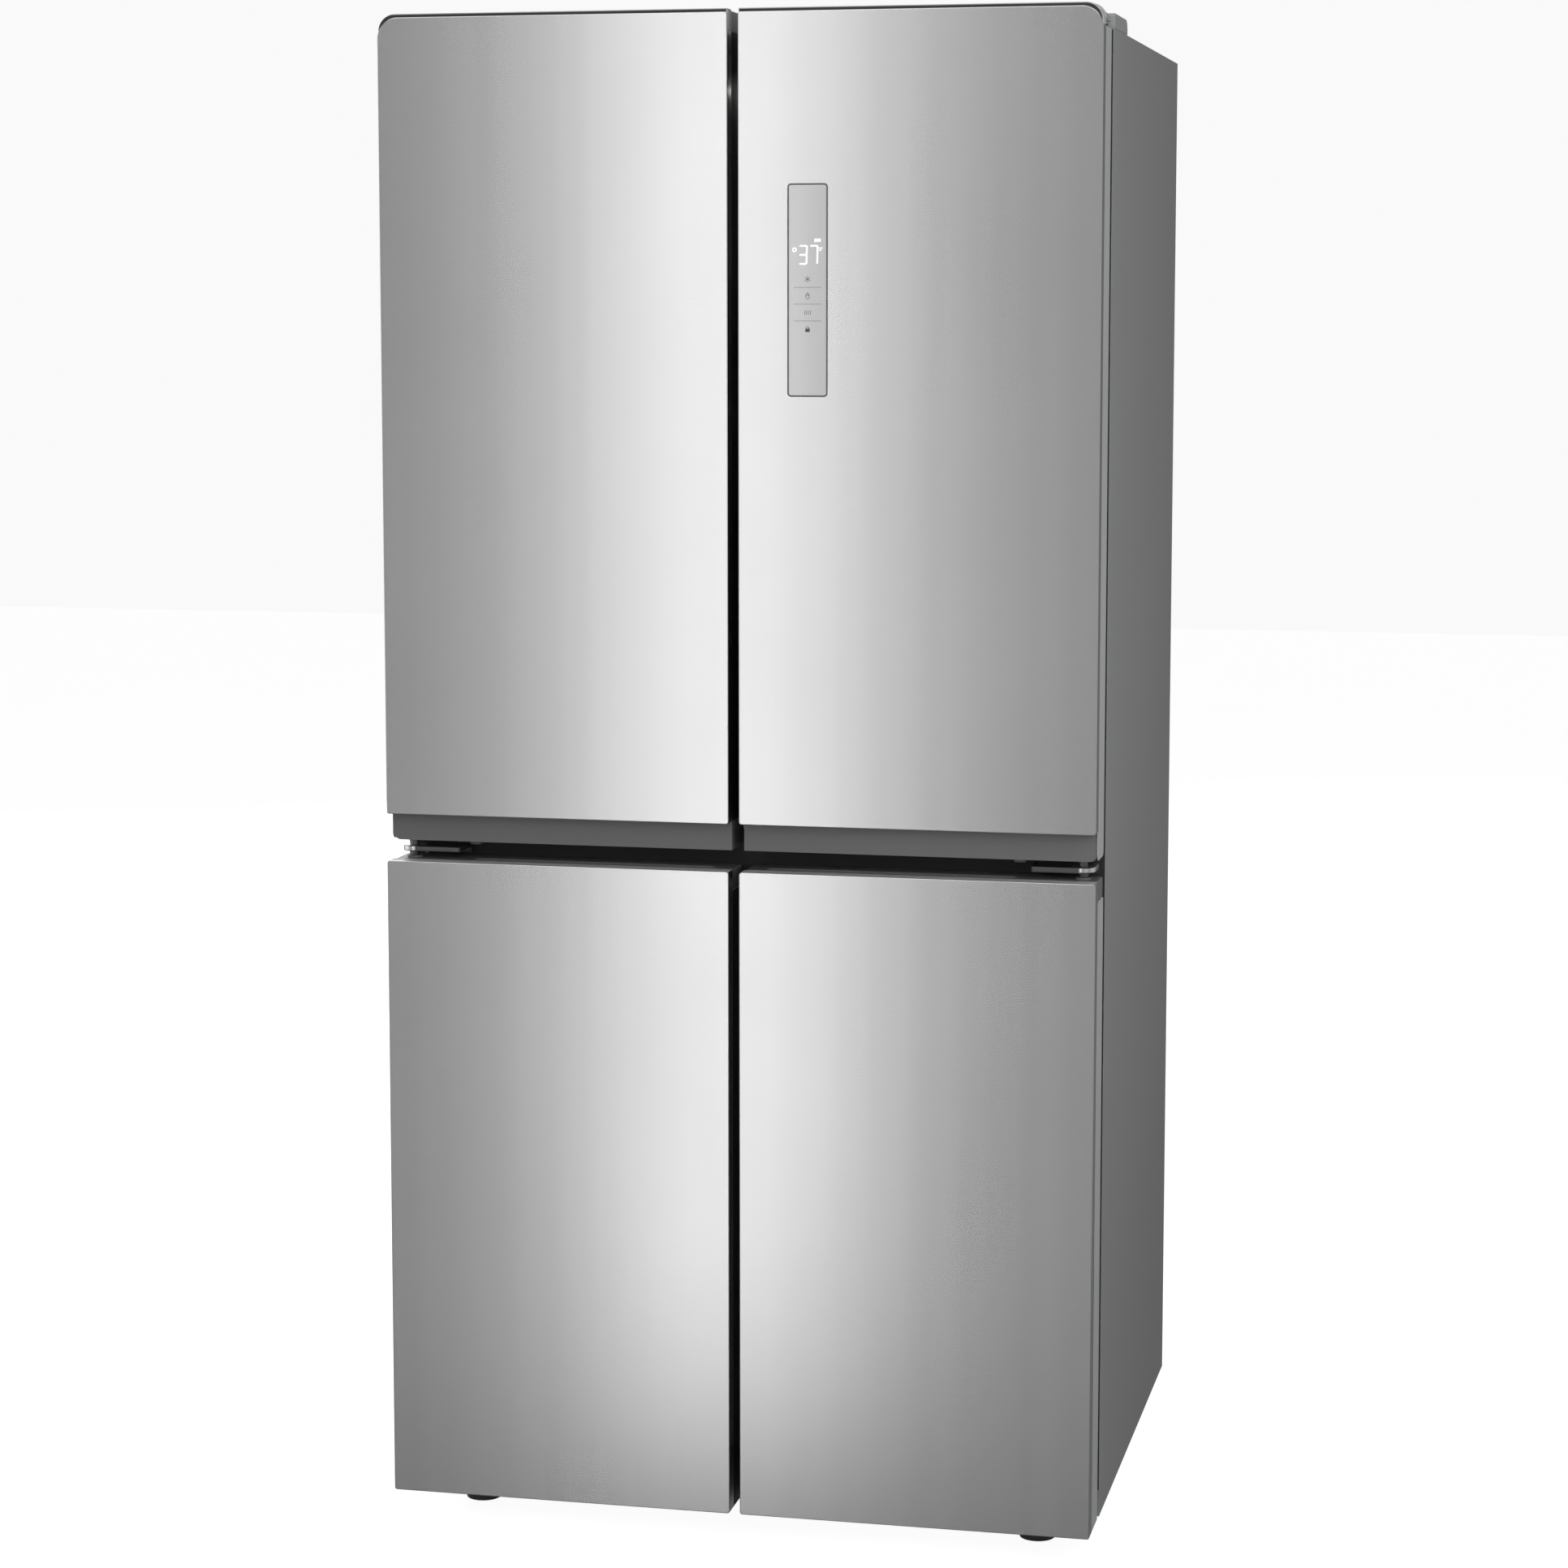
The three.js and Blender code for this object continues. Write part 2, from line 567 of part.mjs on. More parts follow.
// Two arms on the left door's inner face carry the pins that the folding mullion turns on.
function mullionArms() {
  const [x, y] = MULLION_AXIS;
  const [low, high] = [MULLION_Z[0] - 0.5, MULLION_Z[1] + 0.5];
  return [[low - 14, low, low + 12], [high, high + 14, high - 12]].flatMap(([from, to, tip]) => [
    block([x - 31, x + 4.5], [y - 7.5, y + 4.5], [from, to]),
    upright(MULLION_PIN, MULLION_AXIS, [Math.min(from, tip), Math.max(to, tip)], 16),
  ]);
}

function flipMullion() {
  const [x, y] = MULLION_AXIS;
  const bar = block([x - 14, x + 8], [y + 3, y + 61], MULLION_Z);
  const knuckle = upright(4.5, MULLION_AXIS, MULLION_Z, 16);
  const bores = MULLION_Z.map((end) => upright(MULLION_PIN + 0.4, MULLION_AXIS, grown([end, end], 15.5), 16));
  return cut(join(bar, knuckle), ...bores);
}

const UPPER_CORE_Z = [UPPER_SKIN[0] + 1 + FIT, HEIGHT - SHEET - 2 * FIT - CAP_HEIGHT];
const LOWER_CORE_Z = [LOWER_SKIN[0] + DOOR_INSET, LOWER_SKIN[1] - SHEET - 2 * FIT - CAP_HEIGHT];

function upperCore(side) {
  const core = cut(doorCore(side, UPPER_CORE_Z, UPPER_DYKE_Z), pinBore(side, [1721, 1760]));
  const windowPocket = block(grown(WINDOW.x, 1), [0, 4.5], grown(WINDOW.z, 1));
  return side > 0 ? cut(core, windowPocket) : join(core, ...mullionArms());
}

function lowerCore(side) {
  return cut(doorCore(side, LOWER_CORE_Z, LOWER_DYKE_Z), pinBore(side, [30, 61]));
}

for (const [label, side] of Object.entries(SIDES)) {
  const right = side > 0;
  const upper = newGroup();
  const name = (piece) => `upper_${label}_${piece}`;
  add(name('skin'), right ? upperRightSkin() : doorSkin(side, UPPER_SKIN, CORNER), 'brushed', upper);
  add(name('core'), upperCore(side), 'linerWhite', upper);
  add(name('cap'), upperCap(side), 'doorTrim', upper);
  add(name('grip'), upperGrip(side), 'doorTrim', upper);
  add(name('gasket'), doorGasket(side, [820.5, 1728]), 'gasket', upper);
  for (const [bin, level] of Object.entries(BIN_LEVELS)) {
    add(name(bin), doorBin(side, level), 'frosted', upper);
  }
  if (right) {
    add('display_panel', displayPanel(), 'display', upper);
  } else {
    const fold = newGroup();
    add('flip_mullion', flipMullion(), 'painted', fold);
  }
}

for (const [label, side] of Object.entries(SIDES)) {
  const lower = newGroup();
  const name = (piece) => `lower_${label}_${piece}`;
  add(name('skin'), doorSkin(side, LOWER_SKIN, 3), 'brushed', lower);
  add(name('core'), lowerCore(side), 'linerWhite', lower);
  add(name('cap'), lowerCap(side), 'doorTrim', lower);
  add(name('gasket'), doorGasket(side, [70, 794]), 'gasket', lower);
}

export default refrigerator;
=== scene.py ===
"""A four-door refrigerator with brushed steel fronts: its finishes, its moulded and folded pieces,
its inside, and a plain studio around it. Metres, +X right, +Y back, +Z up."""

import json
from math import cos, pi, radians, sin

import bmesh
import bpy
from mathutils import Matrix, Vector


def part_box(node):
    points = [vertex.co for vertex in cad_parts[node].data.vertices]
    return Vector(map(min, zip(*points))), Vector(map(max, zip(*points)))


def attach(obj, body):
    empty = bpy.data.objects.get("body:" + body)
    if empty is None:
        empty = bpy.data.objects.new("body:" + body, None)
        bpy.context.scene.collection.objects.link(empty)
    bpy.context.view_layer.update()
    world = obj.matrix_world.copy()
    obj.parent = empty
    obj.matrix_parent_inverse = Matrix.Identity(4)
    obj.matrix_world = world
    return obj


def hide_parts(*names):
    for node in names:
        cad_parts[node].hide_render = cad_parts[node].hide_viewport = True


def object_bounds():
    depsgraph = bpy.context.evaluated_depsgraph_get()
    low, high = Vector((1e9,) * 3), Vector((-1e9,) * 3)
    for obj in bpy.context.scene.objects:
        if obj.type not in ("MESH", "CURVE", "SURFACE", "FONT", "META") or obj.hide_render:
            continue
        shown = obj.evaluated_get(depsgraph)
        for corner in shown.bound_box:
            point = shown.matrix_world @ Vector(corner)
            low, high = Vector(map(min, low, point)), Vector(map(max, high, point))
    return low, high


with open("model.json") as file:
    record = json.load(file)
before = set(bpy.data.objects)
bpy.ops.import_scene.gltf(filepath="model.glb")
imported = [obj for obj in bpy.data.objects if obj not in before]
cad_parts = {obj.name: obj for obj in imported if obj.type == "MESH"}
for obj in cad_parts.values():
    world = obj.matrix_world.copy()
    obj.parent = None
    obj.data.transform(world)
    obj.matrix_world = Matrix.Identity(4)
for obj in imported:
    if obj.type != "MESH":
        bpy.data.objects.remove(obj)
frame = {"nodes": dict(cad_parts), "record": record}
cad_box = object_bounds()
NODES = frame["nodes"]
FRONT = cad_box[0].y
MM = 0.001
X, Y, Z = range(3)
SIDES = {"left": -1, "right": 1}


# ---------------------------------------------------------------- camera

CAMERA_AT = Vector((0.9595, -4.395, 1.4405))
CAMERA_YAW = radians(12.565)
CAMERA_DOWN = radians(6.465)
LENS = 84.2
RISE = -0.04


def make_camera():
    data = bpy.data.cameras.new("studio_camera")
    data.lens = LENS
    data.sensor_width = 36
    data.shift_y = RISE
    data.clip_end = 60
    camera = bpy.data.objects.new("studio_camera", data)
    camera.location = CAMERA_AT
    camera.rotation_euler = (pi / 2 - CAMERA_DOWN, 0, CAMERA_YAW)
    bpy.context.scene.collection.objects.link(camera)
    bpy.context.scene.camera = camera


make_camera()


# ---------------------------------------------------------------- shader arithmetic

class Value:
    """A shader socket that Python arithmetic works on. Each operation adds its Math node."""

    def __init__(self, finish, socket):
        self.finish = finish
        self.socket = socket

    def math(self, operation, first, second):
        return self.finish.node("Math", {"operation": operation}, {0: first, 1: second})

    def __add__(self, other):
        return self.math("ADD", self, other)

    def __sub__(self, other):
        return self.math("SUBTRACT", self, other)

    def __rsub__(self, other):
        return self.math("SUBTRACT", other, self)

    def __mul__(self, other):
        return self.math("MULTIPLY", self, other)

    __radd__ = __add__
    __rmul__ = __mul__


class Finish:
    """One material, with a Principled shader and the nodes that feed it."""

    def __init__(self, name, **constants):
        self.material = bpy.data.materials.new(name)
        self.material.use_nodes = True
        self.tree = self.material.node_tree
        self.tree.nodes.clear()
        output = self.tree.nodes.new("ShaderNodeOutputMaterial")
        self.shader = self.tree.nodes.new("ShaderNodeBsdfPrincipled")
        self.tree.links.new(self.shader.outputs[0], output.inputs[0])
        self.feed(self.shader, {key.replace("_", " "): value for key, value in constants.items()})

    def feed(self, node, sockets):
        for key, value in sockets.items():
            if isinstance(value, Value):
                self.tree.links.new(value.socket, node.inputs[key])
            else:
                node.inputs[key].default_value = value

    def node(self, kind, settings=None, sockets=None, output=0):
        made = self.tree.nodes.new("ShaderNode" + kind)
        for key, value in (settings or {}).items():
            setattr(made, key, value)
        self.feed(made, sockets or {})
        return Value(self, made.outputs[output])

    def spot(self, scale=(1, 1, 1)):
        """Object coordinates, stretched along the axes."""
        place = self.node("TexCoord", output=3)
        return self.node("Mapping", {}, {"Vector": place, "Scale": scale})

    def noise(self, scale, detail=2.0, rough=0.5, stretch=(1, 1, 1)):
        sockets = {"Vector": self.spot(stretch), "Scale": scale, "Detail": detail, "Roughness": rough}
        return self.node("TexNoise", {}, sockets)

    def blend(self, factor, dark, light):
        settings = {"data_type": "RGBA"}
        return self.node("Mix", settings, {0: factor, 6: (*dark, 1), 7: (*light, 1)}, output=2)

    def bump(self, height, depth, strength=1.0):
        sockets = {"Strength": strength, "Distance": depth, "Height": height}
        self.feed(self.shader, {"Normal": self.node("Bump", {}, sockets)})

    def look(self, colour=None, rough=None):
        sockets = {"Base Color": colour, "Roughness": rough}
        self.feed(self.shader, {key: value for key, value in sockets.items() if value is not None})


def grey(level, tint=0.0):
    return (level * (1 - tint), level, level * (1 + tint))


# ---------------------------------------------------------------- finishes

def brushed_steel():
    """Upright brushing: long hairlines, broader bands between them and a faint cloud of wear."""
    made = Finish("brushed_steel", Metallic=1.0)
    hair = made.noise(1.0, 3.0, 0.6, (1500, 1500, 3))
    line = made.noise(1.0, 2.0, 0.5, (330, 330, 0.8))
    band = made.noise(1.0, 1.0, 0.5, (34, 34, 0.2))
    cloud = made.noise(3.2, 3.0)
    tone = 0.06 * hair + 0.22 * line + 0.62 * band + 0.1 * cloud
    made.look(made.blend(tone, grey(0.545), grey(0.625)), 0.218 + 0.01 * band + 0.03 * cloud)
    made.bump(hair * 0.3 + line * 0.7, 0.00001, 0.025)
    return made.material


def cabinet_enamel():
    """Grey enamel with a fine upright grain and the orange peel of sprayed paint."""
    made = Finish("cabinet_enamel", Metallic=0.2)
    peel = made.noise(900, 2.0)
    grain = made.noise(1.0, 3.0, 0.6, (700, 700, 4))
    cloud = made.noise(2.5, 3.0)
    tone = 0.5 * grain + 0.3 * cloud + 0.2 * peel
    made.look(made.blend(tone, grey(0.30, 0.01), grey(0.39, 0.01)), 0.4 + 0.12 * cloud)
    made.bump(peel * 0.5 + grain * 0.5, 0.00003, 0.25)
    return made.material


def moulded(name, dark, light, rough, grain=1400, depth=0.00003, **constants):
    """Moulded plastic with a spark-eroded grain and slightly polished patches."""
    made = Finish(name, **constants)
    texture = made.noise(grain, 2.0, 0.6)
    patch = made.noise(7.0, 3.0)
    made.look(made.blend(0.35 * texture + 0.65 * patch, dark, light), rough + 0.1 * patch - 0.05)
    made.bump(texture, depth, 0.5)
    return made.material


def liner_white():
    """Thermoformed sheet: glossy, with a slow waviness and faint cloudiness."""
    made = Finish("liner_white", Coat_Weight=0.25, Coat_Roughness=0.12)
    wave = made.noise(9.0, 2.0)
    fine = made.noise(500, 2.0)
    made.look(made.blend(wave, (0.80, 0.815, 0.82), (0.88, 0.89, 0.89)), 0.24 + 0.12 * wave)
    made.bump(wave * 0.8 + fine * 0.2, 0.0002, 0.25)
    return made.material


def zinc_sheet():
    """Galvanised sheet with its spangle."""
    made = Finish("zinc_sheet", Metallic=0.75)
    crystals = made.node("TexVoronoi", {}, {"Vector": made.spot(), "Scale": 55.0}, output=0)
    cloud = made.noise(6.0, 3.0)
    tone = 0.6 * crystals + 0.4 * cloud
    made.look(made.blend(tone, grey(0.30, 0.02), grey(0.52, 0.02)), 0.38 + 0.2 * cloud)
    made.bump(crystals, 0.00002, 0.4)
    return made.material


def bright_plate():
    made = Finish("bright_plate", Metallic=1.0)
    scratch = made.noise(1.0, 3.0, 0.6, (900, 120, 900))
    cloud = made.noise(30.0, 3.0)
    made.look(made.blend(cloud, grey(0.62, 0.01), grey(0.78, 0.01)), 0.2 + 0.16 * scratch)
    made.bump(scratch, 0.00003, 0.4)
    return made.material


def shelf_glass():
    """Toughened glass, faintly green, with a little dust on its faces."""
    made = Finish("shelf_glass", IOR=1.5)
    dust = made.noise(60, 3.0)
    made.look(made.blend(dust, (0.70, 0.84, 0.79), (0.80, 0.90, 0.86)), 0.03 + 0.06 * dust)
    made.feed(made.shader, {"Alpha": 0.24 + 0.12 * dust})
    return made.material


def drawer_plastic():
    """Clear styrene, slightly blue in its thick edges, with flow marks."""
    made = Finish("drawer_plastic", IOR=1.5)
    flow = made.noise(1.0, 3.0, 0.5, (10, 10, 26))
    made.look(made.blend(flow, (0.84, 0.88, 0.90), (0.93, 0.95, 0.96)), 0.12 + 0.14 * flow)
    made.feed(made.shader, {"Alpha": 0.42 + 0.14 * flow})
    made.bump(flow, 0.0003, 0.3)
    return made.material


def gasket_rubber():
    made = Finish("gasket_rubber")
    pores = made.noise(1600, 2.0)
    bloom = made.noise(14, 3.0)
    made.look(made.blend(bloom, grey(0.07), grey(0.115)), 0.55 + 0.2 * bloom)
    made.bump(pores, 0.00005, 0.6)
    return made.material


def insulation_foam():
    made = Finish("insulation_foam")
    cells = made.node("TexVoronoi", {}, {"Vector": made.spot(), "Scale": 260.0}, output=0)
    age = made.noise(5, 3.0)
    made.look(made.blend(age, (0.72, 0.60, 0.30), (0.86, 0.78, 0.50)), 0.85 + 0.1 * cells)
    made.bump(cells, 0.0005, 0.6)
    return made.material


def coil_fins():
    made = Finish("coil_fins", Metallic=1.0)
    rows = made.node("TexWave", {}, {"Vector": made.spot(), "Scale": 90.0, "Distortion": 0.4})
    cloud = made.noise(12, 3.0)
    made.look(made.blend(cloud, grey(0.6, 0.01), grey(0.8, 0.01)), 0.3 + 0.2 * cloud)
    made.bump(rows, 0.0004, 0.7)
    return made.material


def display_face():
    """The silver touch window: fine print layer under a clear hard coat."""
    made = Finish("display_face", Metallic=0.25, Coat_Weight=0.8, Coat_Roughness=0.06)
    print_layer = made.noise(1.0, 2.0, 0.5, (1200, 1200, 20))
    cloud = made.noise(20, 2.0)
    tone = 0.6 * print_layer + 0.4 * cloud
    made.look(made.blend(tone, grey(0.60), grey(0.68)), 0.28 + 0.08 * cloud)
    return made.material


def lit(name, colour, strength):
    """A light guide, slightly uneven so that it doesn't look printed on."""
    made = Finish(name, Emission_Strength=strength)
    glow = made.noise(900, 1.0)
    shade = tuple(0.86 * part for part in colour)
    made.look(made.blend(glow, shade, colour), 0.3 + 0.1 * glow)
    made.feed(made.shader, {"Emission Color": made.blend(glow, shade, colour)})
    return made.material


FINISHES = {
    "steel": brushed_steel(),
    "enamel": cabinet_enamel(),
    "trim": moulded("door_trim_plastic", grey(0.135), grey(0.175), 0.42),
    "side": moulded("door_side_plastic", grey(0.52, 0.01), grey(0.58, 0.01), 0.42),
    # rail: near-black paint that is painted shade, for the centre rail and the cabinet's front edge strips
    "rail": moulded("painted_shade_rail_paint", grey(0.02), grey(0.03), 0.6),
    # plate: darkened to stand for the shade on the hinge plates' front edges: painted shade
    "plate": moulded("hinge_plate_painted_shade", grey(0.10), grey(0.14), 0.34, 900, 0.00004, Metallic=0.7),
    "cover": moulded("hinge_cover_plastic", grey(0.34, 0.01), grey(0.41, 0.01), 0.45),
    "black": moulded("black_plastic", grey(0.012), grey(0.024), 0.5),
    "white": liner_white(),
    "zinc": zinc_sheet(),
    "bright": bright_plate(),
    "glass": shelf_glass(),
    "clear": drawer_plastic(),
    "gasket": gasket_rubber(),
    "foam": insulation_foam(),
    "fins": coil_fins(),
    "display": display_face(),
    "enamel_black": moulded("compressor_enamel", grey(0.01), grey(0.02), 0.3, 700, 0.0001),
    "print": moulded("display_print", grey(0.10), grey(0.14), 0.5),
    "digits": lit("display_digits", (1.0, 1.0, 1.0), 1.0),
    "lamp": lit("room_lamp", (1.0, 0.97, 0.92), 5.0),
}


# ---------------------------------------------------------------- modelling tools

def activate(piece):
    bpy.ops.object.select_all(action="DESELECT")
    piece.select_set(True)
    bpy.context.view_layer.objects.active = piece


def cube(name, low, high):
    """A block between two corners, with its place in its mesh."""
    low, high = Vector(low), Vector(high)
    bpy.ops.object.select_all(action="DESELECT")
    bpy.ops.mesh.primitive_cube_add(size=1, location=(low + high) / 2, scale=high - low)
    return settle(name)


def rod(name, centre, radius, length, axis="Z", sides=32):
    turn = {"X": (0, pi / 2, 0), "Y": (pi / 2, 0, 0), "Z": (0, 0, 0)}[axis]
    bpy.ops.object.select_all(action="DESELECT")
    bpy.ops.mesh.primitive_cylinder_add(
        vertices=sides, radius=radius, depth=length, location=centre, rotation=turn)
    return settle(name)


def settle(name):
    piece = bpy.context.active_object
    piece.name = piece.data.name = name
    bpy.ops.object.transform_apply(location=True, rotation=True, scale=True)
    return piece


def edit(piece, kind, test):
    """Enters edit mode with only the parts that pass the test selected."""
    activate(piece)
    bpy.ops.object.mode_set(mode="EDIT")
    bpy.ops.mesh.select_mode(type=kind)
    bpy.ops.mesh.select_all(action="DESELECT")
    mesh = bmesh.from_edit_mesh(piece.data)
    for part in {"VERT": mesh.verts, "EDGE": mesh.edges, "FACE": mesh.faces}[kind]:
        if test(part):
            part.select_set(True)
    bmesh.update_edit_mesh(piece.data)


def done():
    bpy.ops.object.mode_set(mode="OBJECT")


def middle(edge):
    return (edge.verts[0].co + edge.verts[1].co) / 2


def runs(edge, axis):
    """True if an edge runs along an axis."""
    along = (edge.verts[1].co - edge.verts[0].co).normalized()
    return abs(abs(along[axis]) - 1) < 1e-3


def front_to_back(edge):
    return runs(edge, Y)


def stands(edge):
    return abs((edge.verts[1].co - edge.verts[0].co).normalized().z) > 0.9


def near(a, b, gap=2e-5):
    return abs(a - b) < gap


def lies_at(part, axis, level, gap=2e-5):
    """True if every vertex of an edge or a face is at the same level along an axis."""
    return all(near(vertex.co[axis], level, gap) for vertex in part.verts)


def round_edges(piece, test, radius, segments=4):
    edit(piece, "EDGE", test)
    bpy.ops.mesh.bevel(offset=radius, segments=segments, affect="EDGES", clamp_overlap=True)
    done()
    return piece


def drop_faces(piece, test):
    edit(piece, "FACE", test)
    bpy.ops.mesh.delete(type="FACE")
    done()


def apply(piece, kind, **settings):
    modifier = piece.modifiers.new(kind.title(), kind)
    for key, value in settings.items():
        setattr(modifier, key, value)
    activate(piece)
    bpy.ops.object.modifier_apply(modifier=modifier.name)
    return piece


def soften(piece, width, segments=2, angle=30):
    apply(piece, "BEVEL", width=width, segments=segments, limit_method="ANGLE",
          angle_limit=radians(angle), use_clamp_overlap=True, harden_normals=False)
    return smooth(piece)


def smooth(piece, angle=35):
    """Smooth shading in which the large flat faces stay flat."""
    activate(piece)
    bpy.ops.object.shade_smooth_by_angle(angle=radians(angle))
    return apply(piece, "WEIGHTED_NORMAL", keep_sharp=True)


def thicken(piece, wall, outward=False):
    return apply(piece, "SOLIDIFY", thickness=wall, offset=1 if outward else -1, use_even_offset=True)


def carve(piece, *cutters):
    for cutter in cutters:
        apply(piece, "BOOLEAN", operation="DIFFERENCE", solver="EXACT", object=cutter)
        bpy.data.objects.remove(cutter)
    return piece


def tub(name, low, high, corner, wall, draw, rim=0.0):
    """An open moulded tub: drafted walls, round corners, a soft bottom and a rim turned out and down."""
    low, high = Vector(low), Vector(high)
    inside = Vector((rim, rim, 0))
    top = high.z - wall
    piece = cube(name, low + inside, (high.x - rim, high.y - rim, top))
    edit(piece, "FACE", lambda face: lies_at(face, Z, low.z))
    bpy.ops.transform.resize(value=(1 - draw, 1 - draw, 1))
    done()
    round_edges(piece, stands, corner, 6)
    round_edges(piece, lambda edge: lies_at(edge, Z, low.z), min(corner, 9 * MM), 4)
    drop_faces(piece, lambda face: lies_at(face, Z, top))
    if rim:
        size = high - low
        edit(piece, "EDGE", lambda edge: edge.is_boundary)
        bpy.ops.mesh.extrude_region_move()
        wide = (size.x / (size.x - 2 * rim), size.y / (size.y - 2 * rim), 1)
        bpy.ops.transform.resize(value=wide)
        bpy.ops.mesh.extrude_region_move(TRANSFORM_OT_translate={"value": (0, 0, -2.2 * rim)})
        done()
    thicken(piece, wall)
    return soften(piece, 0.5 * MM, 2, 40)


def screw(name, at, way, radius=3.6 * MM, rise=0.7 * MM):
    """A flat screw head with a round recess, facing along a signed axis such as (Y, 1)."""
    axis, sign = way
    centre = Vector(at)
    centre[axis] += sign * rise / 2
    head = rod(name, centre, radius, rise, "XYZ"[axis], 24)
    face_level = at[axis] + sign * rise
    edit(head, "FACE", lambda face: lies_at(face, axis, face_level))
    bpy.ops.mesh.inset(thickness=radius * 0.5)
    step = [0, 0, 0]
    step[axis] = -sign * rise * 0.7
    bpy.ops.transform.translate(value=step)
    done()
    return soften(head, 0.12 * MM, 2, 40)


def merge(name, *pieces):
    bpy.ops.object.select_all(action="DESELECT")
    for piece in pieces:
        piece.select_set(True)
    bpy.context.view_layer.objects.active = pieces[0]
    bpy.ops.object.join()
    pieces[0].name = pieces[0].data.name = name
    return pieces[0]


def place(piece, finish, body, *nodes):
    """Gives a piece its finish and body, and the CAD nodes that it stands for."""
    piece.data.materials.clear()
    piece.data.materials.append(FINISHES[finish])
    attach(piece, body)
    if nodes:
        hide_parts(*nodes)


def moulding(name, low, high, finish, body, ease, segments=3, corners=None):
    """A block with eased edges. Corners is a test for the edges rounded first, a radius and steps."""
    piece = cube(name, low, high)
    if corners:
        round_edges(piece, *corners)
    soften(piece, ease, segments)
    place(piece, finish, body)


def softened(node, width, finish, body, segments=2):
    """A copy of a CAD node with its facets merged and its edges eased."""
    piece = bpy.data.objects.new(node + "_piece", NODES[node].data.copy())
    bpy.context.scene.collection.objects.link(piece)
    edit(piece, "VERT", lambda vertex: True)
    bpy.ops.mesh.remove_doubles(threshold=1e-5)
    bpy.ops.mesh.dissolve_limited(angle_limit=radians(0.5))
    done()
    soften(piece, width, segments)
    place(piece, finish, body, node)


def recoat(node, finish):
    NODES[node].data.materials.clear()
    NODES[node].data.materials.append(FINISHES[finish])


# ---------------------------------------------------------------- door fronts

EDGE_FOLD = 1.1 * MM
SHEET = 0.8 * MM
CORNER = 20 * MM
STEEL_CORNER = CORNER + 4 * MM
TIGHT_CORNER = 3 * MM
GRIP_CORNER = 9 * MM
CORNER_STEPS = 16
CAP_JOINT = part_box("upper_right_cap")[0].z  # where an upper door's steel sides end and its cap begins
CAP_REVEAL = 4.4 * MM  # how far a cap's rounded top stands above the steel
TOP_RETURN = 3 * MM  # how far the steel folds back over the top of a door
DOOR_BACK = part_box("upper_right_cap")[1].y
PIN_BORE = 5.6 * MM
DISPLAY_CORNER = 4 * MM
DOORS = [(level, label) for level in ("upper", "lower") for label in SIDES]


def outer_x(label, low, high):
    """The side of a box that faces away from the middle of the refrigerator."""
    return high.x if label == "right" else low.x


def corner_at(x, z):
    """A test for the edge that runs from front to back at one corner of a door."""
    def corner(edge):
        spot = middle(edge)
        return front_to_back(edge) and near(spot.x, x) and near(spot.z, z)
    return corner


def door_front(level, label):
    """The folded steel front: sheet, bends and returns."""
    node = f"{level}_{label}_skin"
    low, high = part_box(node)
    if level == "upper":
        high.z -= CAP_REVEAL
    skin = cube(node + "_folded", low, high)

    def tight_corner(edge):
        spot = middle(edge)
        at_side = near(spot.x, low.x) or near(spot.x, high.x)
        return front_to_back(edge) and at_side and (near(spot.z, low.z) or near(spot.z, high.z))

    if level == "upper":
        round_edges(skin, corner_at(outer_x(label, low, high), high.z), STEEL_CORNER, CORNER_STEPS)
    round_edges(skin, tight_corner, TIGHT_CORNER, 5)
    drop_faces(skin, lambda face: lies_at(face, Y, high.y))
    round_edges(skin, lambda edge: lies_at(edge, Y, low.y), EDGE_FOLD, 5)
    thicken(skin, SHEET)
    carve(skin, cap_cutter(low, high) if level == "upper" else lip_cutter(low, high))
    if node == "upper_right_skin":
        carve(skin, window_cutter())
    smooth(skin, 30)
    place(skin, "steel", f"{level}_{label}_door", node)


def cap_cutter(low, high):
    """Everything behind the top return of an upper door, where its cap goes."""
    reach = 30 * MM
    start = (low.x - reach, low.y + TOP_RETURN, CAP_JOINT)
    return cube("cutter", start, high + Vector((reach, reach, reach)))


def lip_cutter(low, high):
    """The strip of a lower door's top fold that its moulded lip takes up."""
    side = 1.2 * MM
    start = (low.x + side, low.y + TOP_RETURN, high.z - 1.3 * MM)
    return cube("cutter", start, (high.x - side, high.y + MM, high.z + MM))


def window_cutter():
    """The opening for the display, with a little play round it."""
    low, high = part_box("display_panel")
    play = 0.35 * MM
    reach = Vector((play, 10 * MM, play))
    cutter = cube("cutter", low - reach, high + reach)
    return round_edges(cutter, front_to_back, DISPLAY_CORNER + 0.3 * MM, 6)


def top_lip(label):
    """The moulded lip across the top of a lower door, just behind the fold of its steel."""
    low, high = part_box(f"lower_{label}_skin")
    side = 1.3 * MM
    front = (low.x + side, low.y + TOP_RETURN + 0.3 * MM, high.z - 1.1 * MM)
    back = (high.x - side, high.y + 2.5 * MM, high.z - 0.3 * MM)
    moulding(f"lower_{label}_top_lip", front, back, "side", f"lower_{label}_door", 0.35 * MM)


def cap_piece(kind, label, front, back, finish, inset, ease, segments):
    """A part of an upper door's cap that follows the door's outer top corner."""
    corner = corner_at(outer_x(label, front, back), back.z)
    moulding(f"upper_{label}_cap_{kind}", front, back, finish, f"upper_{label}_door", ease, segments,
             (corner, CORNER - inset, CORNER_STEPS))


def cap_collar(label):
    """The front part of an upper door's cap, flush with the steel."""
    low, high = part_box(f"upper_{label}_skin")
    inset = 0.35 * MM
    front = Vector((low.x + inset, low.y + TOP_RETURN + 0.5 * MM, CAP_JOINT + 0.3 * MM))
    back = Vector((high.x - inset, high.y + 2 * MM, high.z - inset))
    cap_piece("collar", label, front, back, "side", inset, 0.7 * MM, 3)


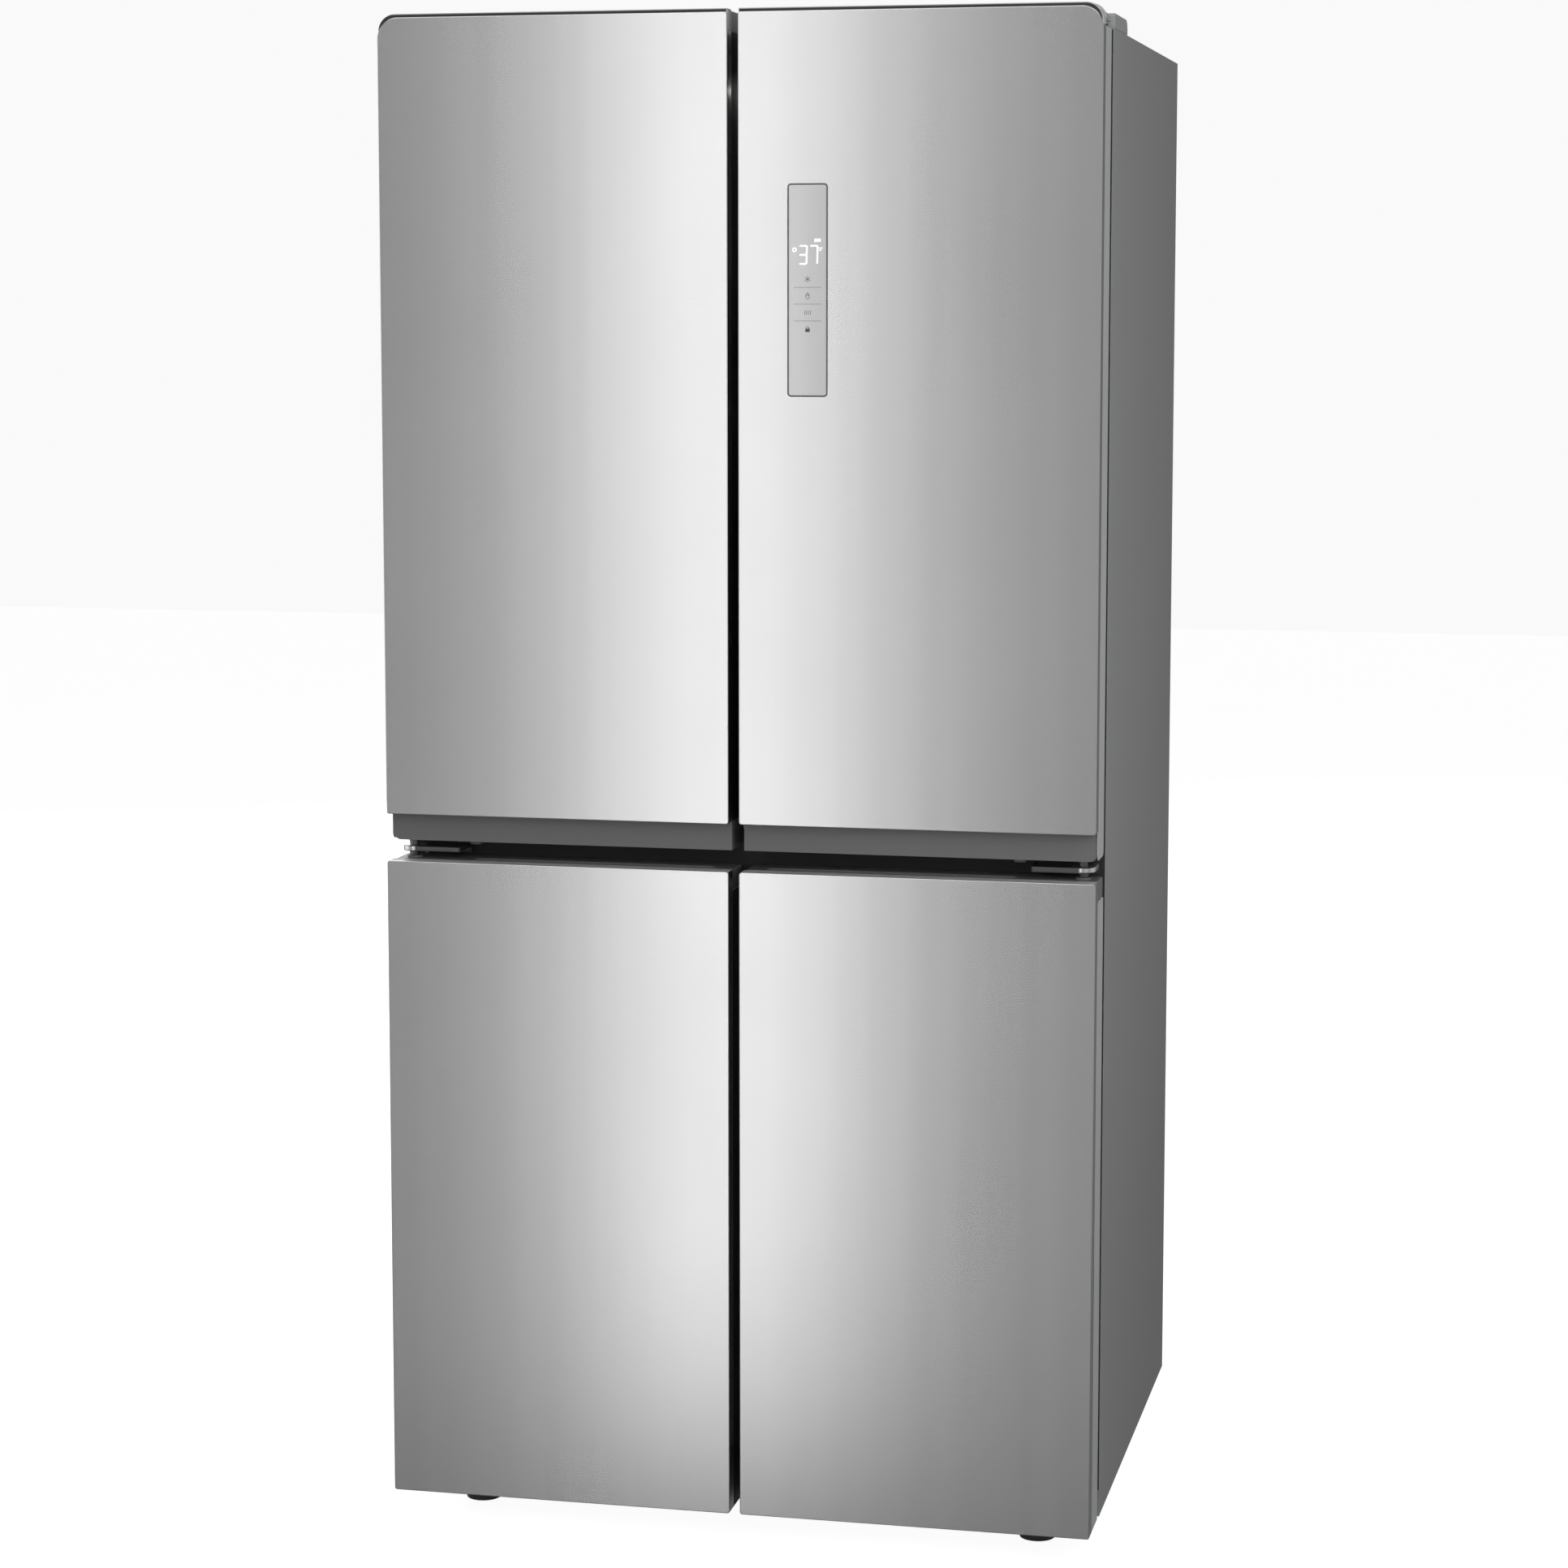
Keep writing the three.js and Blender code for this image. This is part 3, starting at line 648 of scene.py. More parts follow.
def cap_seam(label):
    """A black strip between the steel and the cap, seen as a dark line round the top."""
    low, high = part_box(f"upper_{label}_skin")
    inset = 1.7 * MM
    front = Vector((low.x + inset, low.y + 0.9 * MM, CAP_JOINT - 8 * MM))
    back = Vector((high.x - inset, low.y + TOP_RETURN + 0.7 * MM, high.z - inset))
    cap_piece("seam", label, front, back, "black", inset, 0.2 * MM, 2)


def cap_ridge(label):
    """The raised bead that runs over the cap and down its corner, behind the collar."""
    low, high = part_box(f"upper_{label}_skin")
    inset, inner_end = 0.5 * MM, 4 * MM
    front = Vector((low.x + inner_end, high.y + 3.5 * MM, CAP_JOINT + 8.4 * MM))
    back = Vector((high.x - inset, high.y + 9 * MM, high.z - inset))
    if label == "left":
        front.x, back.x = low.x + inset, high.x - inner_end
    cap_piece("ridge", label, front, back, "side", inset, 1.6 * MM, 4)


def edge_strips(level, label):
    """The moulded edges of a door behind its steel: light grey outside; black in the centre gap, where the
    black is painted shade of the narrow gap.
    """
    way = SIDES[label]
    low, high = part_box(f"{level}_{label}_core")
    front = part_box(f"{level}_{label}_skin")[1].y + 0.5 * MM
    bottom = low.z if level == "lower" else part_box(f"upper_{label}_grip")[0].z + 1 * MM
    outer, inner = (high.x, low.x) if way > 0 else (low.x, high.x)
    # the inner strip's black finish is painted shade of the centre gap; the outer strip's light grey is its
    # real colour
    for where, x, out, finish in (("outer", outer, way, "side"), ("inner", inner, -way, "black")):
        across = sorted((x + 0.05 * MM * out, x + 0.9 * MM * out))
        start = bottom if where == "outer" else low.z
        name = f"{level}_{label}_{where}_strip"
        strip = cube(name, (across[0], front, start), (across[1], DOOR_BACK, high.z))
        if where == "outer" and level == "upper":
            round_edges(strip, lambda edge: runs(edge, X) and lies_at(edge, Z, start), GRIP_CORNER, 6)
        soften(strip, 0.35 * MM, 2)
        place(strip, finish, f"{level}_{label}_door")


def hinge_axis(label):
    joints = frame["record"]["behaviour"]["joints"]
    joint = next(joint for joint in joints if joint["name"] == f"upper_{label}_door_swing")
    return joint["pos_m"][0], joint["pos_m"][1]


def grip_rail(label):
    """The set-back rail under an upper door that the fingers pull on, with its hooked lower edge."""
    node = f"upper_{label}_grip"
    low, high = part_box(node)
    rail = cube(node + "_rail", low, high)
    round_edges(rail, corner_at(outer_x(label, low, high), low.z), GRIP_CORNER, 8)
    centre = ((low.x + high.x) / 2, low.y + 17 * MM, low.z - 3 * MM)
    groove = rod("cutter", centre, 9 * MM, high.x - low.x - 40 * MM, "X", 24)
    bore = rod("cutter", (*hinge_axis(label), low.z), PIN_BORE, 44 * MM)
    carve(rail, groove, bore)
    soften(rail, 1.4 * MM, 4)
    place(rail, "trim", f"upper_{label}_door", node)


def hinge_bushes(label):
    """The plastic collars round the middle hinge's pin, above and below its plate."""
    x, y = hinge_axis(label)
    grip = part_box(f"upper_{label}_grip")[0].z
    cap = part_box(f"lower_{label}_cap")[1].z
    sunk = 0.2 * MM
    spans = {"upper": (grip - 2.6 * MM, grip + sunk), "lower": (cap - sunk, cap + 2.4 * MM)}
    for level, (start, end) in spans.items():
        centre = (x, y, (start + end) / 2)
        bush = rod(f"{level}_{label}_hinge_bush", centre, 9 * MM, end - start, "Z", 40)
        carve(bush, rod("cutter", (x, y, start), PIN_BORE, 30 * MM, "Z", 40))
        soften(bush, 0.6 * MM, 3)
        place(bush, "trim", f"{level}_{label}_door")


def stop_block(label):
    """The block under an upper door, beside the middle hinge plate."""
    y = hinge_axis(label)[1]
    plate_low, plate_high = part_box(f"middle_hinge_{label}")
    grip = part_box(f"upper_{label}_grip")[0].z
    inner = min(abs(plate_low.x), abs(plate_high.x)) * SIDES[label]
    across = sorted((inner - SIDES[label] * 8 * MM, inner - SIDES[label] * 22 * MM))
    low = (across[0], y + 2 * MM, grip - 7 * MM)
    high = (across[1], y + 20 * MM, grip + 0.3 * MM)
    moulding(f"upper_{label}_stop_block", low, high, "trim", f"upper_{label}_door", 0.8 * MM, 3,
             (stands, 3 * MM, 4))


def door_gasket(level, label):
    """A magnetic gasket: a soft bellows with a groove round its middle, outside and inside."""
    node = f"{level}_{label}_gasket"
    low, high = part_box(node)
    width, groove, waist = 20 * MM, 2.4 * MM, low.y + 5.2 * MM
    bellows = cube(node + "_bellows", low, high)
    inner = Vector((width, -10 * MM, width))
    carve(bellows, cube("cutter", low + inner, high - inner))
    for inset in (-1 * MM, width - 3 * MM):
        outer = Vector((inset, 0, inset))
        start, end = low + outer, high - outer
        start.y, end.y = waist, waist + groove
        band = cube("cutter", start, end)
        if inset < 0:
            inside = Vector((4 * MM, -5 * MM, 4 * MM))
            carve(band, cube("cutter", start + inside, end - inside))
        carve(bellows, band)
    soften(bellows, 1.1 * MM, 3)
    place(bellows, "gasket", f"{level}_{label}_door", node)


for level, label in DOORS:
    door_front(level, label)
    edge_strips(level, label)
    door_gasket(level, label)
    softened(f"{level}_{label}_core", 4 * MM, "white", f"{level}_{label}_door", 3)
for label in SIDES:
    cap_collar(label)
    cap_seam(label)
    cap_ridge(label)
    top_lip(label)
    grip_rail(label)
    hinge_bushes(label)
    stop_block(label)
    softened(f"upper_{label}_cap", 0.9 * MM, "cover", f"upper_{label}_door", 3)
    softened(f"lower_{label}_cap", 1.1 * MM, "trim", f"lower_{label}_door", 3)


# ---------------------------------------------------------------- display

SEGMENTS = {"3": "abgcd", "7": "abc"}
BEZEL = 1.5 * MM
PANEL_LOW, PANEL_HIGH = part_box("display_panel")
PANEL_X = (PANEL_LOW.x + PANEL_HIGH.x) / 2
PRINT_FRONT = PANEL_LOW.y + 0.02 * MM
PRINT_BACK = PANEL_LOW.y + 0.3 * MM
PRINT_LINE = 0.6 * MM
DIGIT_HEIGHT = 20 * MM
DIGITS_TOP = PANEL_HIGH.z - 69 * MM
FIRST_SYMBOL = DIGITS_TOP - 37 * MM
SYMBOL_STEP = 18.6 * MM


def touch_window(body):
    """The silver touch window and the thin dark bezel round it."""
    window = cube("display_window", PANEL_LOW + Vector((0, 0.1 * MM, 0)), PANEL_HIGH)
    round_edges(window, front_to_back, DISPLAY_CORNER, 8)
    soften(window, 0.35 * MM, 3)
    place(window, "display", body, "display_panel")
    bezel = cube("display_bezel", PANEL_LOW, PANEL_HIGH)
    round_edges(bezel, front_to_back, DISPLAY_CORNER, 8)
    inset = Vector((BEZEL, -5 * MM, BEZEL))
    opening = cube("cutter", PANEL_LOW + inset, PANEL_HIGH - inset)
    carve(bezel, round_edges(opening, front_to_back, DISPLAY_CORNER - BEZEL, 8))
    smooth(bezel)
    place(bezel, "trim", body)


def printed(name, x, z, width, height):
    """A printed rectangle from its lower left corner."""
    return cube(name, (x, PRINT_FRONT, z), (x + width, PRINT_BACK, z + height))


def ring(name, x, z, radius, line):
    y, deep = (PRINT_FRONT + PRINT_BACK) / 2, PRINT_BACK - PRINT_FRONT
    outer = rod(name, (x, y, z), radius, deep, "Y", 24)
    return carve(outer, rod("cutter", (x, y, z), radius - line, 4 * deep, "Y", 24))


def stroke(x, z, length, angle):
    """A thin printed line through a point, turned in the plane of the window."""
    piece = printed("stroke", x - length / 2, z - PRINT_LINE / 2, length, PRINT_LINE)
    for vertex in piece.data.vertices:
        dx, dz = vertex.co.x - x, vertex.co.z - z
        vertex.co.x = x + dx * cos(angle) - dz * sin(angle)
        vertex.co.z = z + dx * sin(angle) + dz * cos(angle)
    return piece


def flake_symbol(x, z):
    return [stroke(x, z, 7.5 * MM, i * pi / 3 + pi / 6) for i in range(3)]


def drop_symbol(x, z):
    parts = [ring("drop", x, z - 1.2 * MM, 2.4 * MM, PRINT_LINE)]
    for way in (-1, 1):
        parts.append(stroke(x + way * 1.15 * MM, z + 1.9 * MM, 4.0 * MM, way * -1.05))
    return parts


def bars_symbol(x, z):
    return [stroke(x + step * MM, z, 4.6 * MM, pi / 2) for step in (-3.2, -1.1, 1.1, 3.2)]


def lock_symbol(x, z):
    body = printed("lock", x - 2.6 * MM, z - 3 * MM, 5.2 * MM, 3.8 * MM)
    return [body, ring("shackle", x, z + 1.1 * MM, 2.0 * MM, PRINT_LINE)]


def seven_segment(digit, left):
    """The bars of one digit, with the slant and the mitred look of a lit display."""
    tall, half = DIGIT_HEIGHT, DIGIT_HEIGHT / 2
    wide, bar, lean = tall * 0.42, tall * 0.085, 0.025
    places = {
        "a": (0, 0, wide, 0), "b": (wide, 0, wide, -half), "c": (wide, -half, wide, -tall),
        "d": (0, -tall, wide, -tall), "g": (0, -half, wide, -half),
    }
    bars = []
    for name in SEGMENTS[digit]:
        x0, z0, x1, z1 = places[name]
        corner = Vector((left, 0, DIGITS_TOP))
        low = corner + Vector((min(x0, x1), 0, min(z0, z1)))
        high = corner + Vector((max(x0, x1), 0, max(z0, z1)))
        thick = Vector((bar / 2, 0, bar / 2))
        trim = Vector((bar * 0.62, 0, 0)) if z0 == z1 else Vector((0, 0, bar * 0.62))
        low, high = low - thick + trim, high + thick - trim
        piece = printed("segment", low.x, low.z, high.x - low.x, high.z - low.z)
        round_edges(piece, front_to_back, bar * 0.42, 2)
        for vertex in piece.data.vertices:
            vertex.co.x += (vertex.co.z - DIGITS_TOP + tall) * lean
        bars.append(piece)
    return bars


def lit_digits(body):
    """The temperature in lit bars, its degree ring, three level bars and two short marks."""
    parts = [ring("degree", PANEL_X - 15 * MM, DIGITS_TOP - 4.4 * MM, 2.4 * MM, 0.9 * MM)]
    for digit, left in (("3", PANEL_X - 9.6 * MM), ("7", PANEL_X + 2.6 * MM)):
        parts += seven_segment(digit, left)
    for i in range(3):
        x = PANEL_X + (8 + i * 2.6) * MM
        parts.append(printed("level_bar", x, DIGITS_TOP + 4.4 * MM, 1.7 * MM, 3.4 * MM))
    for i in range(2):
        z = DIGITS_TOP - (3 + i * 2.4) * MM
        parts.append(printed("mark", PANEL_X + 13.4 * MM, z, (3.6 - i * 1.4) * MM, 1 * MM))
    digits = merge("display_digits", *parts)
    smooth(digits)
    place(digits, "digits", body)


def printed_symbols(body):
    """The column of printed symbols under the digits, with a fine line between each two."""
    parts = []
    margin = 7 * MM
    rows = (flake_symbol, drop_symbol, bars_symbol, lock_symbol)
    for row, symbol in enumerate(rows):
        z = FIRST_SYMBOL - row * SYMBOL_STEP
        parts += symbol(PANEL_X, z)
        if row < len(rows) - 1:
            width = PANEL_HIGH.x - PANEL_LOW.x - 2 * margin
            parts.append(printed("line", PANEL_LOW.x + margin, z - 9.4 * MM, width, 0.4 * MM))
    symbols = merge("display_symbols", *parts)
    smooth(symbols)
    place(symbols, "print", body)


touch_window("upper_right_door")
lit_digits("upper_right_door")
printed_symbols("upper_right_door")


# ---------------------------------------------------------------- door bins

def door_bin(label, level):
    """A clear bin with a white band along its open side and a white rib at each end."""
    node = f"upper_{label}_{level}"
    body = f"upper_{label}_door"
    low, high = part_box(node)
    place(tub(node + "_tub", low, high, 16 * MM, 2.2 * MM, 0.02), "clear", body, node)
    band_low = (low.x + 10 * MM, high.y - 5 * MM, high.z - 20 * MM)
    band_high = (high.x - 10 * MM, high.y, high.z - 3 * MM)
    moulding(node + "_band", band_low, band_high, "white", body, 1.5 * MM, 3,
             (front_to_back, 6 * MM, 5))
    for end, x, inward in (("a", low.x, 1), ("b", high.x, -1)):
        across = sorted((x + inward * 2.4 * MM, x + inward * 12 * MM))
        rib_low = (across[0], low.y + 0.5 * MM, low.z + 30 * MM)
        rib_high = (across[1], low.y + 3 * MM, high.z - 12 * MM)
        moulding(f"{node}_{end}_rib", rib_low, rib_high, "white", body, 1 * MM)


for label in SIDES:
    for level in ("bin_upper", "bin_lower"):
        door_bin(label, level)


# ---------------------------------------------------------------- cabinet outside

PLATE_Z = 806 * MM  # the middle of the middle hinges' plates
SCREW_SUNK = 0.75 * MM


def rear_sheet():
    """The back of the cabinet, with a pressed field inside a flat border and its rows of screws."""
    low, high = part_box("rear_panel")
    sheet = cube("rear_panel_pressed", low, high)
    edit(sheet, "FACE", lambda face: lies_at(face, Y, high.y))
    bpy.ops.mesh.inset(thickness=26 * MM)
    bpy.ops.mesh.inset(thickness=5 * MM)
    bpy.ops.transform.translate(value=(0, -0.8 * MM, 0))
    done()
    smooth(sheet, 20)
    place(sheet, "zinc", "cabinet", "rear_panel")
    border = 13 * MM
    for i in range(5):
        z = low.z + border + (high.z - low.z - 2 * border) * i / 4
        for side, x in (("left", low.x + border), ("right", high.x - border)):
            head = screw(f"rear_screw_{i}_{side}", (x, high.y - SCREW_SUNK, z), (Y, 1))
            place(head, "bright", "cabinet")


def machine_cover():
    """The vented cover of the compressor space, with round-ended louvres and flat screws."""
    low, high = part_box("machine_cover")
    sheet = cube("machine_cover_sheet", low, high)
    bottom, top, half = 90 * MM, 190 * MM, 6 * MM
    cutters = []
    for way in (-1, 1):
        for i in range(9):
            x = way * (86 + i * 32) * MM
            slot = cube("cutter", (x - half, low.y - 5 * MM, bottom), (x + half, high.y + 5 * MM, top))
            cutters.append(round_edges(slot, front_to_back, half - 0.05 * MM, 5))
    carve(sheet, merge("cutter", *cutters))
    smooth(sheet, 20)
    place(sheet, "zinc", "cabinet", "machine_cover")
    border = 20 * MM
    for i in range(6):
        x = low.x + border + (high.x - low.x - 2 * border) * i / 5
        head = screw(f"machine_cover_screw_{i}", (x, high.y - SCREW_SUNK, high.z - 12 * MM), (Y, 1))
        place(head, "bright", "cabinet")


def hinge_tip(label):
    """The bright sleeve that wraps the rounded tip of a middle hinge plate."""
    low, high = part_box(f"middle_hinge_{label}")
    x, y = hinge_axis(label)
    centre = (x, y + 1.5 * MM, PLATE_Z)
    thick = 6.8 * MM
    tip = rod(f"middle_hinge_{label}_sleeve", centre, 14 * MM, thick, "Z", 48)
    soften(tip, 1.6 * MM, 4)
    outer, way = outer_x(label, low, high), SIDES[label]
    across = sorted((outer - way * 6 * MM, outer + way * 0.5 * MM))
    arm_low = (across[0], centre[1], PLATE_Z - thick / 2)
    arm = cube("sleeve_arm", arm_low, (across[1], y + 30 * MM, PLATE_Z + thick / 2))
    soften(arm, 1.6 * MM, 4)
    place(merge(f"middle_hinge_{label}_sleeve", tip, arm), "bright", "cabinet")


def painted_shade_edge_strip(label):
    """A near-black strip down the outer front edge of the cabinet, behind the doors: painted shade on that
    edge.
    """
    low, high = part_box("cabinet_shell")
    outer, step = outer_x(label, low, high), -SIDES[label]
    across = sorted((outer + step * 0.6 * MM, outer + step * 19 * MM))
    start = (across[0], low.y - 0.55 * MM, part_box(f"lower_{label}_gasket")[0].z)
    end = (across[1], low.y + 0.05 * MM, high.z - 2 * MM)
    # near-black strip that stands for the shade on the cabinet's front edge: painted shade
    moulding(f"painted_shade_edge_strip_{label}", start, end, "rail", "cabinet", 0.2 * MM, 2)


def hinge_cover(label):
    """The moulded cover over a top hinge and the screw that holds it."""
    node = f"hinge_cover_{label}"
    softened(node, 4 * MM, "cover", "cabinet", 5)
    low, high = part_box(node)
    at = ((low.x + high.x) / 2, high.y - 38 * MM, high.z - 0.5 * MM)
    place(screw(node + "_screw", at, (Z, 1), 4.5 * MM, 0.45 * MM), "black", "cabinet")


softened("cabinet_shell", 0.45 * MM, "enamel", "cabinet", 3)
rear_sheet()
machine_cover()
for label in SIDES:
    hinge_cover(label)
    # the middle hinge plate's dark finish is painted shade on its front edge
    softened(f"middle_hinge_{label}", 0.9 * MM, "plate", "cabinet", 3)
    hinge_tip(label)
    painted_shade_edge_strip(label)
    softened(f"top_hinge_{label}", 0.8 * MM, "bright", "cabinet")
    softened(f"bottom_hinge_{label}", 0.8 * MM, "zinc", "cabinet")
    softened(f"front_foot_{label}", 0.9 * MM, "black", f"front_foot_{label}", 3)
    softened(f"rear_roller_{label}", 1.6 * MM, "black", f"rear_roller_{label}", 3)
softened("base_pan", 0.4 * MM, "zinc", "cabinet")
# the centre rail's near-black paint is painted shade
softened("centre_rail", 0.4 * MM, "rail", "cabinet")
softened("flip_mullion", 2.2 * MM, "enamel", "mullion", 3)
softened("evaporator_fan", 0.5 * MM, "black", "evaporator_fan")
softened("evaporator", 0.5 * MM, "fins", "cabinet")
recoat("cabinet_foam", "foam")


# ---------------------------------------------------------------- rooms

ROOM_ROUND = 14 * MM
LINER_WALL = 1.6 * MM
ROOM_HALF = 368 * MM
FRESH_ROOM = (842 * MM, 1700 * MM)
FREEZER_ROOM = (95 * MM, 770 * MM)
STEP_TOP = 290 * MM
STEP_DEPTH = 450 * MM
SHELVES = ("glass_shelf_upper", "glass_shelf_lower", "crisper_cover")
DUCT_HALF = 115 * MM
DUCT_SLOTS = (1160 * MM, 1360 * MM, 1560 * MM)
LAMP_Y = -110 * MM


def formed_room(name, low, high, step):
    """The inside of a room as a block with rounded edges, open at the mouth; step is cut out below."""
    room = cube(name, low, high)
    if step:
        carve(room, cube("cutter", *step))
    round_edges(room, lambda edge: not lies_at(edge, Y, low.y), ROOM_ROUND, 5)
    drop_faces(room, lambda face: lies_at(face, Y, low.y))
    return thicken(room, LINER_WALL, True)


def liner(node, rooms_z, step, ledge_levels, ledge_y, ledge_depth):
    """A thermoformed liner: the room, its front rim and the ledges moulded into its sides."""
    rim_low, rim_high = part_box(node)
    low = Vector((-ROOM_HALF, rim_low.y, rooms_z[0]))
    high = Vector((ROOM_HALF, rim_high.y - LINER_WALL, rooms_z[1]))
    room = formed_room(node + "_room", low, high, step)
    rim = cube(node + "_rim", rim_low, (rim_high.x, rim_low.y + LINER_WALL, rim_high.z))
    reach = Vector((0, 10 * MM, 0))
    carve(rim, round_edges(cube("cutter", low - reach, high + reach), front_to_back, ROOM_ROUND, 5))
    ledges = []
    for level in ledge_levels:
        for way in (-1, 1):
            across = sorted((way * (ROOM_HALF - 10 * MM), way * (ROOM_HALF + 0.8 * MM)))
            start = (across[0], FRONT + ledge_y[0], level - ledge_depth)
            ledges.append(soften(cube("ledge", start, (across[1], FRONT + ledge_y[1], level)), 2.2 * MM, 3))
    smooth(room, 30)
    place(merge(node + "_formed", room, rim, *ledges), "white", "cabinet", node)


def shelf(node):
    """A glass shelf in its front and back rails, with a bright line along the front."""
    low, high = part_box(node)
    softened(node, 0.8 * MM, "glass", "cabinet", 3)
    side = 0.6 * MM
    spans = {"front": (low.y - 3 * MM, low.y + 15 * MM), "back": (high.y - 12 * MM, high.y + 2 * MM)}
    for where, (start, end) in spans.items():
        rail_low = (low.x + side, start, low.z - 5 * MM)
        rail = cube(f"{node}_{where}_rail", rail_low, (high.x - side, end, high.z + 2.2 * MM))
        edit(rail, "FACE", lambda face: lies_at(face, Y, start) or lies_at(face, Y, end))
        bpy.ops.mesh.inset(thickness=2.6 * MM, use_individual=True)
        done()
        soften(rail, 2.2 * MM, 4)
        place(rail, "white", "cabinet")
    line_low = (low.x + 14 * MM, low.y - 3.4 * MM, low.z - 1.5 * MM)
    line_high = (high.x - 14 * MM, low.y - 2.4 * MM, low.z + 3 * MM)
    moulding(f"{node}_bright_line", line_low, line_high, "bright", "cabinet", 0.4 * MM)


def air_duct():
    """The raised duct on the back wall that blows cold air out between the shelves."""
    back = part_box("fresh_liner")[1].y - 2.2 * MM
    front = back - 17 * MM
    duct = cube("fresh_air_duct", (-DUCT_HALF, front, 1065 * MM), (DUCT_HALF, back, 1660 * MM))
    round_edges(duct, front_to_back, 24 * MM, 8)
    cutters = []
    half = 62 * MM
    for z in DUCT_SLOTS:
        for row in range(3):
            level = z + row * 11 * MM
            slot = cube("cutter", (-half, front - 5 * MM, level), (half, front + 9 * MM, level + 5 * MM))
            cutters.append(round_edges(slot, front_to_back, 2.4 * MM, 4))
    carve(duct, merge("cutter", *cutters))
    soften(duct, 2 * MM, 3)
    place(duct, "white", "cabinet")
    # a black plate seen through the slots: painted shade for the dark inside of the vents
    dark_low = (-70 * MM, front + 6 * MM, 1120 * MM)
    dark_high = (70 * MM, front + 8 * MM, 1620 * MM)
    moulding("fresh_air_duct_painted_shade", dark_low, dark_high, "black", "cabinet", 0.5 * MM, 2)


def ceiling_lamp():
    """A long lens in a flat seat, under the ceiling of the fresh food room."""
    ceiling = FRESH_ROOM[1] - 0.2 * MM

    def flat(name, half_x, half_y, bottom, top, finish, ease, segments, corner):
        low = (-half_x, LAMP_Y - half_y, ceiling - bottom)
        high = (half_x, LAMP_Y + half_y, ceiling - top)
        moulding(name, low, high, finish, "cabinet", ease, segments, (stands, corner, 8))

    flat("lamp_seat", 130 * MM, 30 * MM, 5 * MM, 0, "white", 1.5 * MM, 3, 18 * MM)
    flat("lamp_lens", 118 * MM, 19 * MM, 7.5 * MM, 4 * MM, "lamp", 1.6 * MM, 4, 12 * MM)


def drawer(node, rise, draw):
    """A clear drawer with a rolled rim and a white pull across the top of its front."""
    low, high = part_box(node)
    place(tub(node + "_tub", low, high, 14 * MM, 2.2 * MM, draw, 3 * MM), "clear", node, node)
    left, right = low.x + 34 * MM, high.x - 34 * MM
    pull = cube(node + "_pull", (left, low.y, high.z - rise), (right, low.y + 19 * MM, high.z))
    round_edges(pull, lambda edge: runs(edge, X) and lies_at(edge, Y, low.y), 5 * MM, 5)
    hollow_at = ((low.x + high.x) / 2, low.y + 12 * MM, high.z - rise)
    carve(pull, rod("cutter", hollow_at, 9 * MM, right - left - 12 * MM, "X", 24))
    soften(pull, 1.2 * MM, 3)
    place(pull, "white", node)
    ridge_low = (left, low.y + 3.2 * MM, low.z + 22 * MM)
    ridge_high = (right, low.y + 8 * MM, low.z + 27 * MM)
    moulding(node + "_front_ridge", ridge_low, ridge_high, "clear", node, 1.5 * MM)


def humidity_slider(label):
    """The small sliding shutter over a crisper's air slots, in the cover's front rail."""
    low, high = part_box("crisper_cover")
    x = SIDES[label] * 180 * MM
    y = low.y - 3.6 * MM
    window_low = (x - 34 * MM, y, low.z - 3 * MM)
    window_high = (x + 34 * MM, y + 1.2 * MM, high.z + 0.4 * MM)
    moulding(f"humidity_window_{label}", window_low, window_high, "cover", "cabinet", 0.3 * MM, 2,
             (front_to_back, 3 * MM, 4))
    knob_low = (x - 8 * MM, y - 1.6 * MM, low.z - 1.6 * MM)
    knob_high = (x + 8 * MM, y + 0.4 * MM, high.z - 0.8 * MM)
    moulding(f"humidity_knob_{label}", knob_low, knob_high, "white", "cabinet", 0.7 * MM)


def compressor():
    """The hermetic can with its weld flange, its foot plate and its terminal cover."""
    low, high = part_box("compressor")
    x, y = (low.x + high.x) / 2, (low.y + high.y) / 2
    radius = 74 * MM
    base = low.z + 9 * MM
    can = rod("compressor_can", (x, y, (base + high.z) / 2), radius, high.z - base, "Z", 64)
    round_edges(can, lambda edge: lies_at(edge, Z, high.z), 40 * MM, 8)
    round_edges(can, lambda edge: lies_at(edge, Z, base), 12 * MM, 4)
    smooth(can, 50)
    weld = (x, y, base + 66 * MM)
    flange = rod("compressor_flange", weld, radius + 1.8 * MM, 5 * MM, "Z", 64)
    soften(flange, 1.2 * MM, 3)
    foot_low = (low.x, low.y + 14 * MM, low.z)
    foot = cube("compressor_foot", foot_low, (high.x, high.y - 14 * MM, low.z + 6 * MM))
    round_edges(foot, stands, 10 * MM, 5)
    soften(foot, 1 * MM, 3)
    whole = merge("compressor_body", can, flange, foot)
    place(whole, "enamel_black", "cabinet", "compressor")
    box_low = (x + radius - 12 * MM, y - 26 * MM, base + 30 * MM)
    box_high = (high.x, y + 26 * MM, base + 84 * MM)
    moulding("compressor_terminal_cover", box_low, box_high, "black", "cabinet", 2 * MM, 3,
             (stands, 8 * MM, 4))


def shelves_and_drawers():
    for node in SHELVES:
        shelf(node)
    for label in SIDES:
        humidity_slider(label)
        drawer(f"crisper_{label}", 24 * MM, 0.03)
        for number in (1, 2, 3):
            drawer(f"freezer_drawer_{label}_{number}", 30 * MM, 0.02)


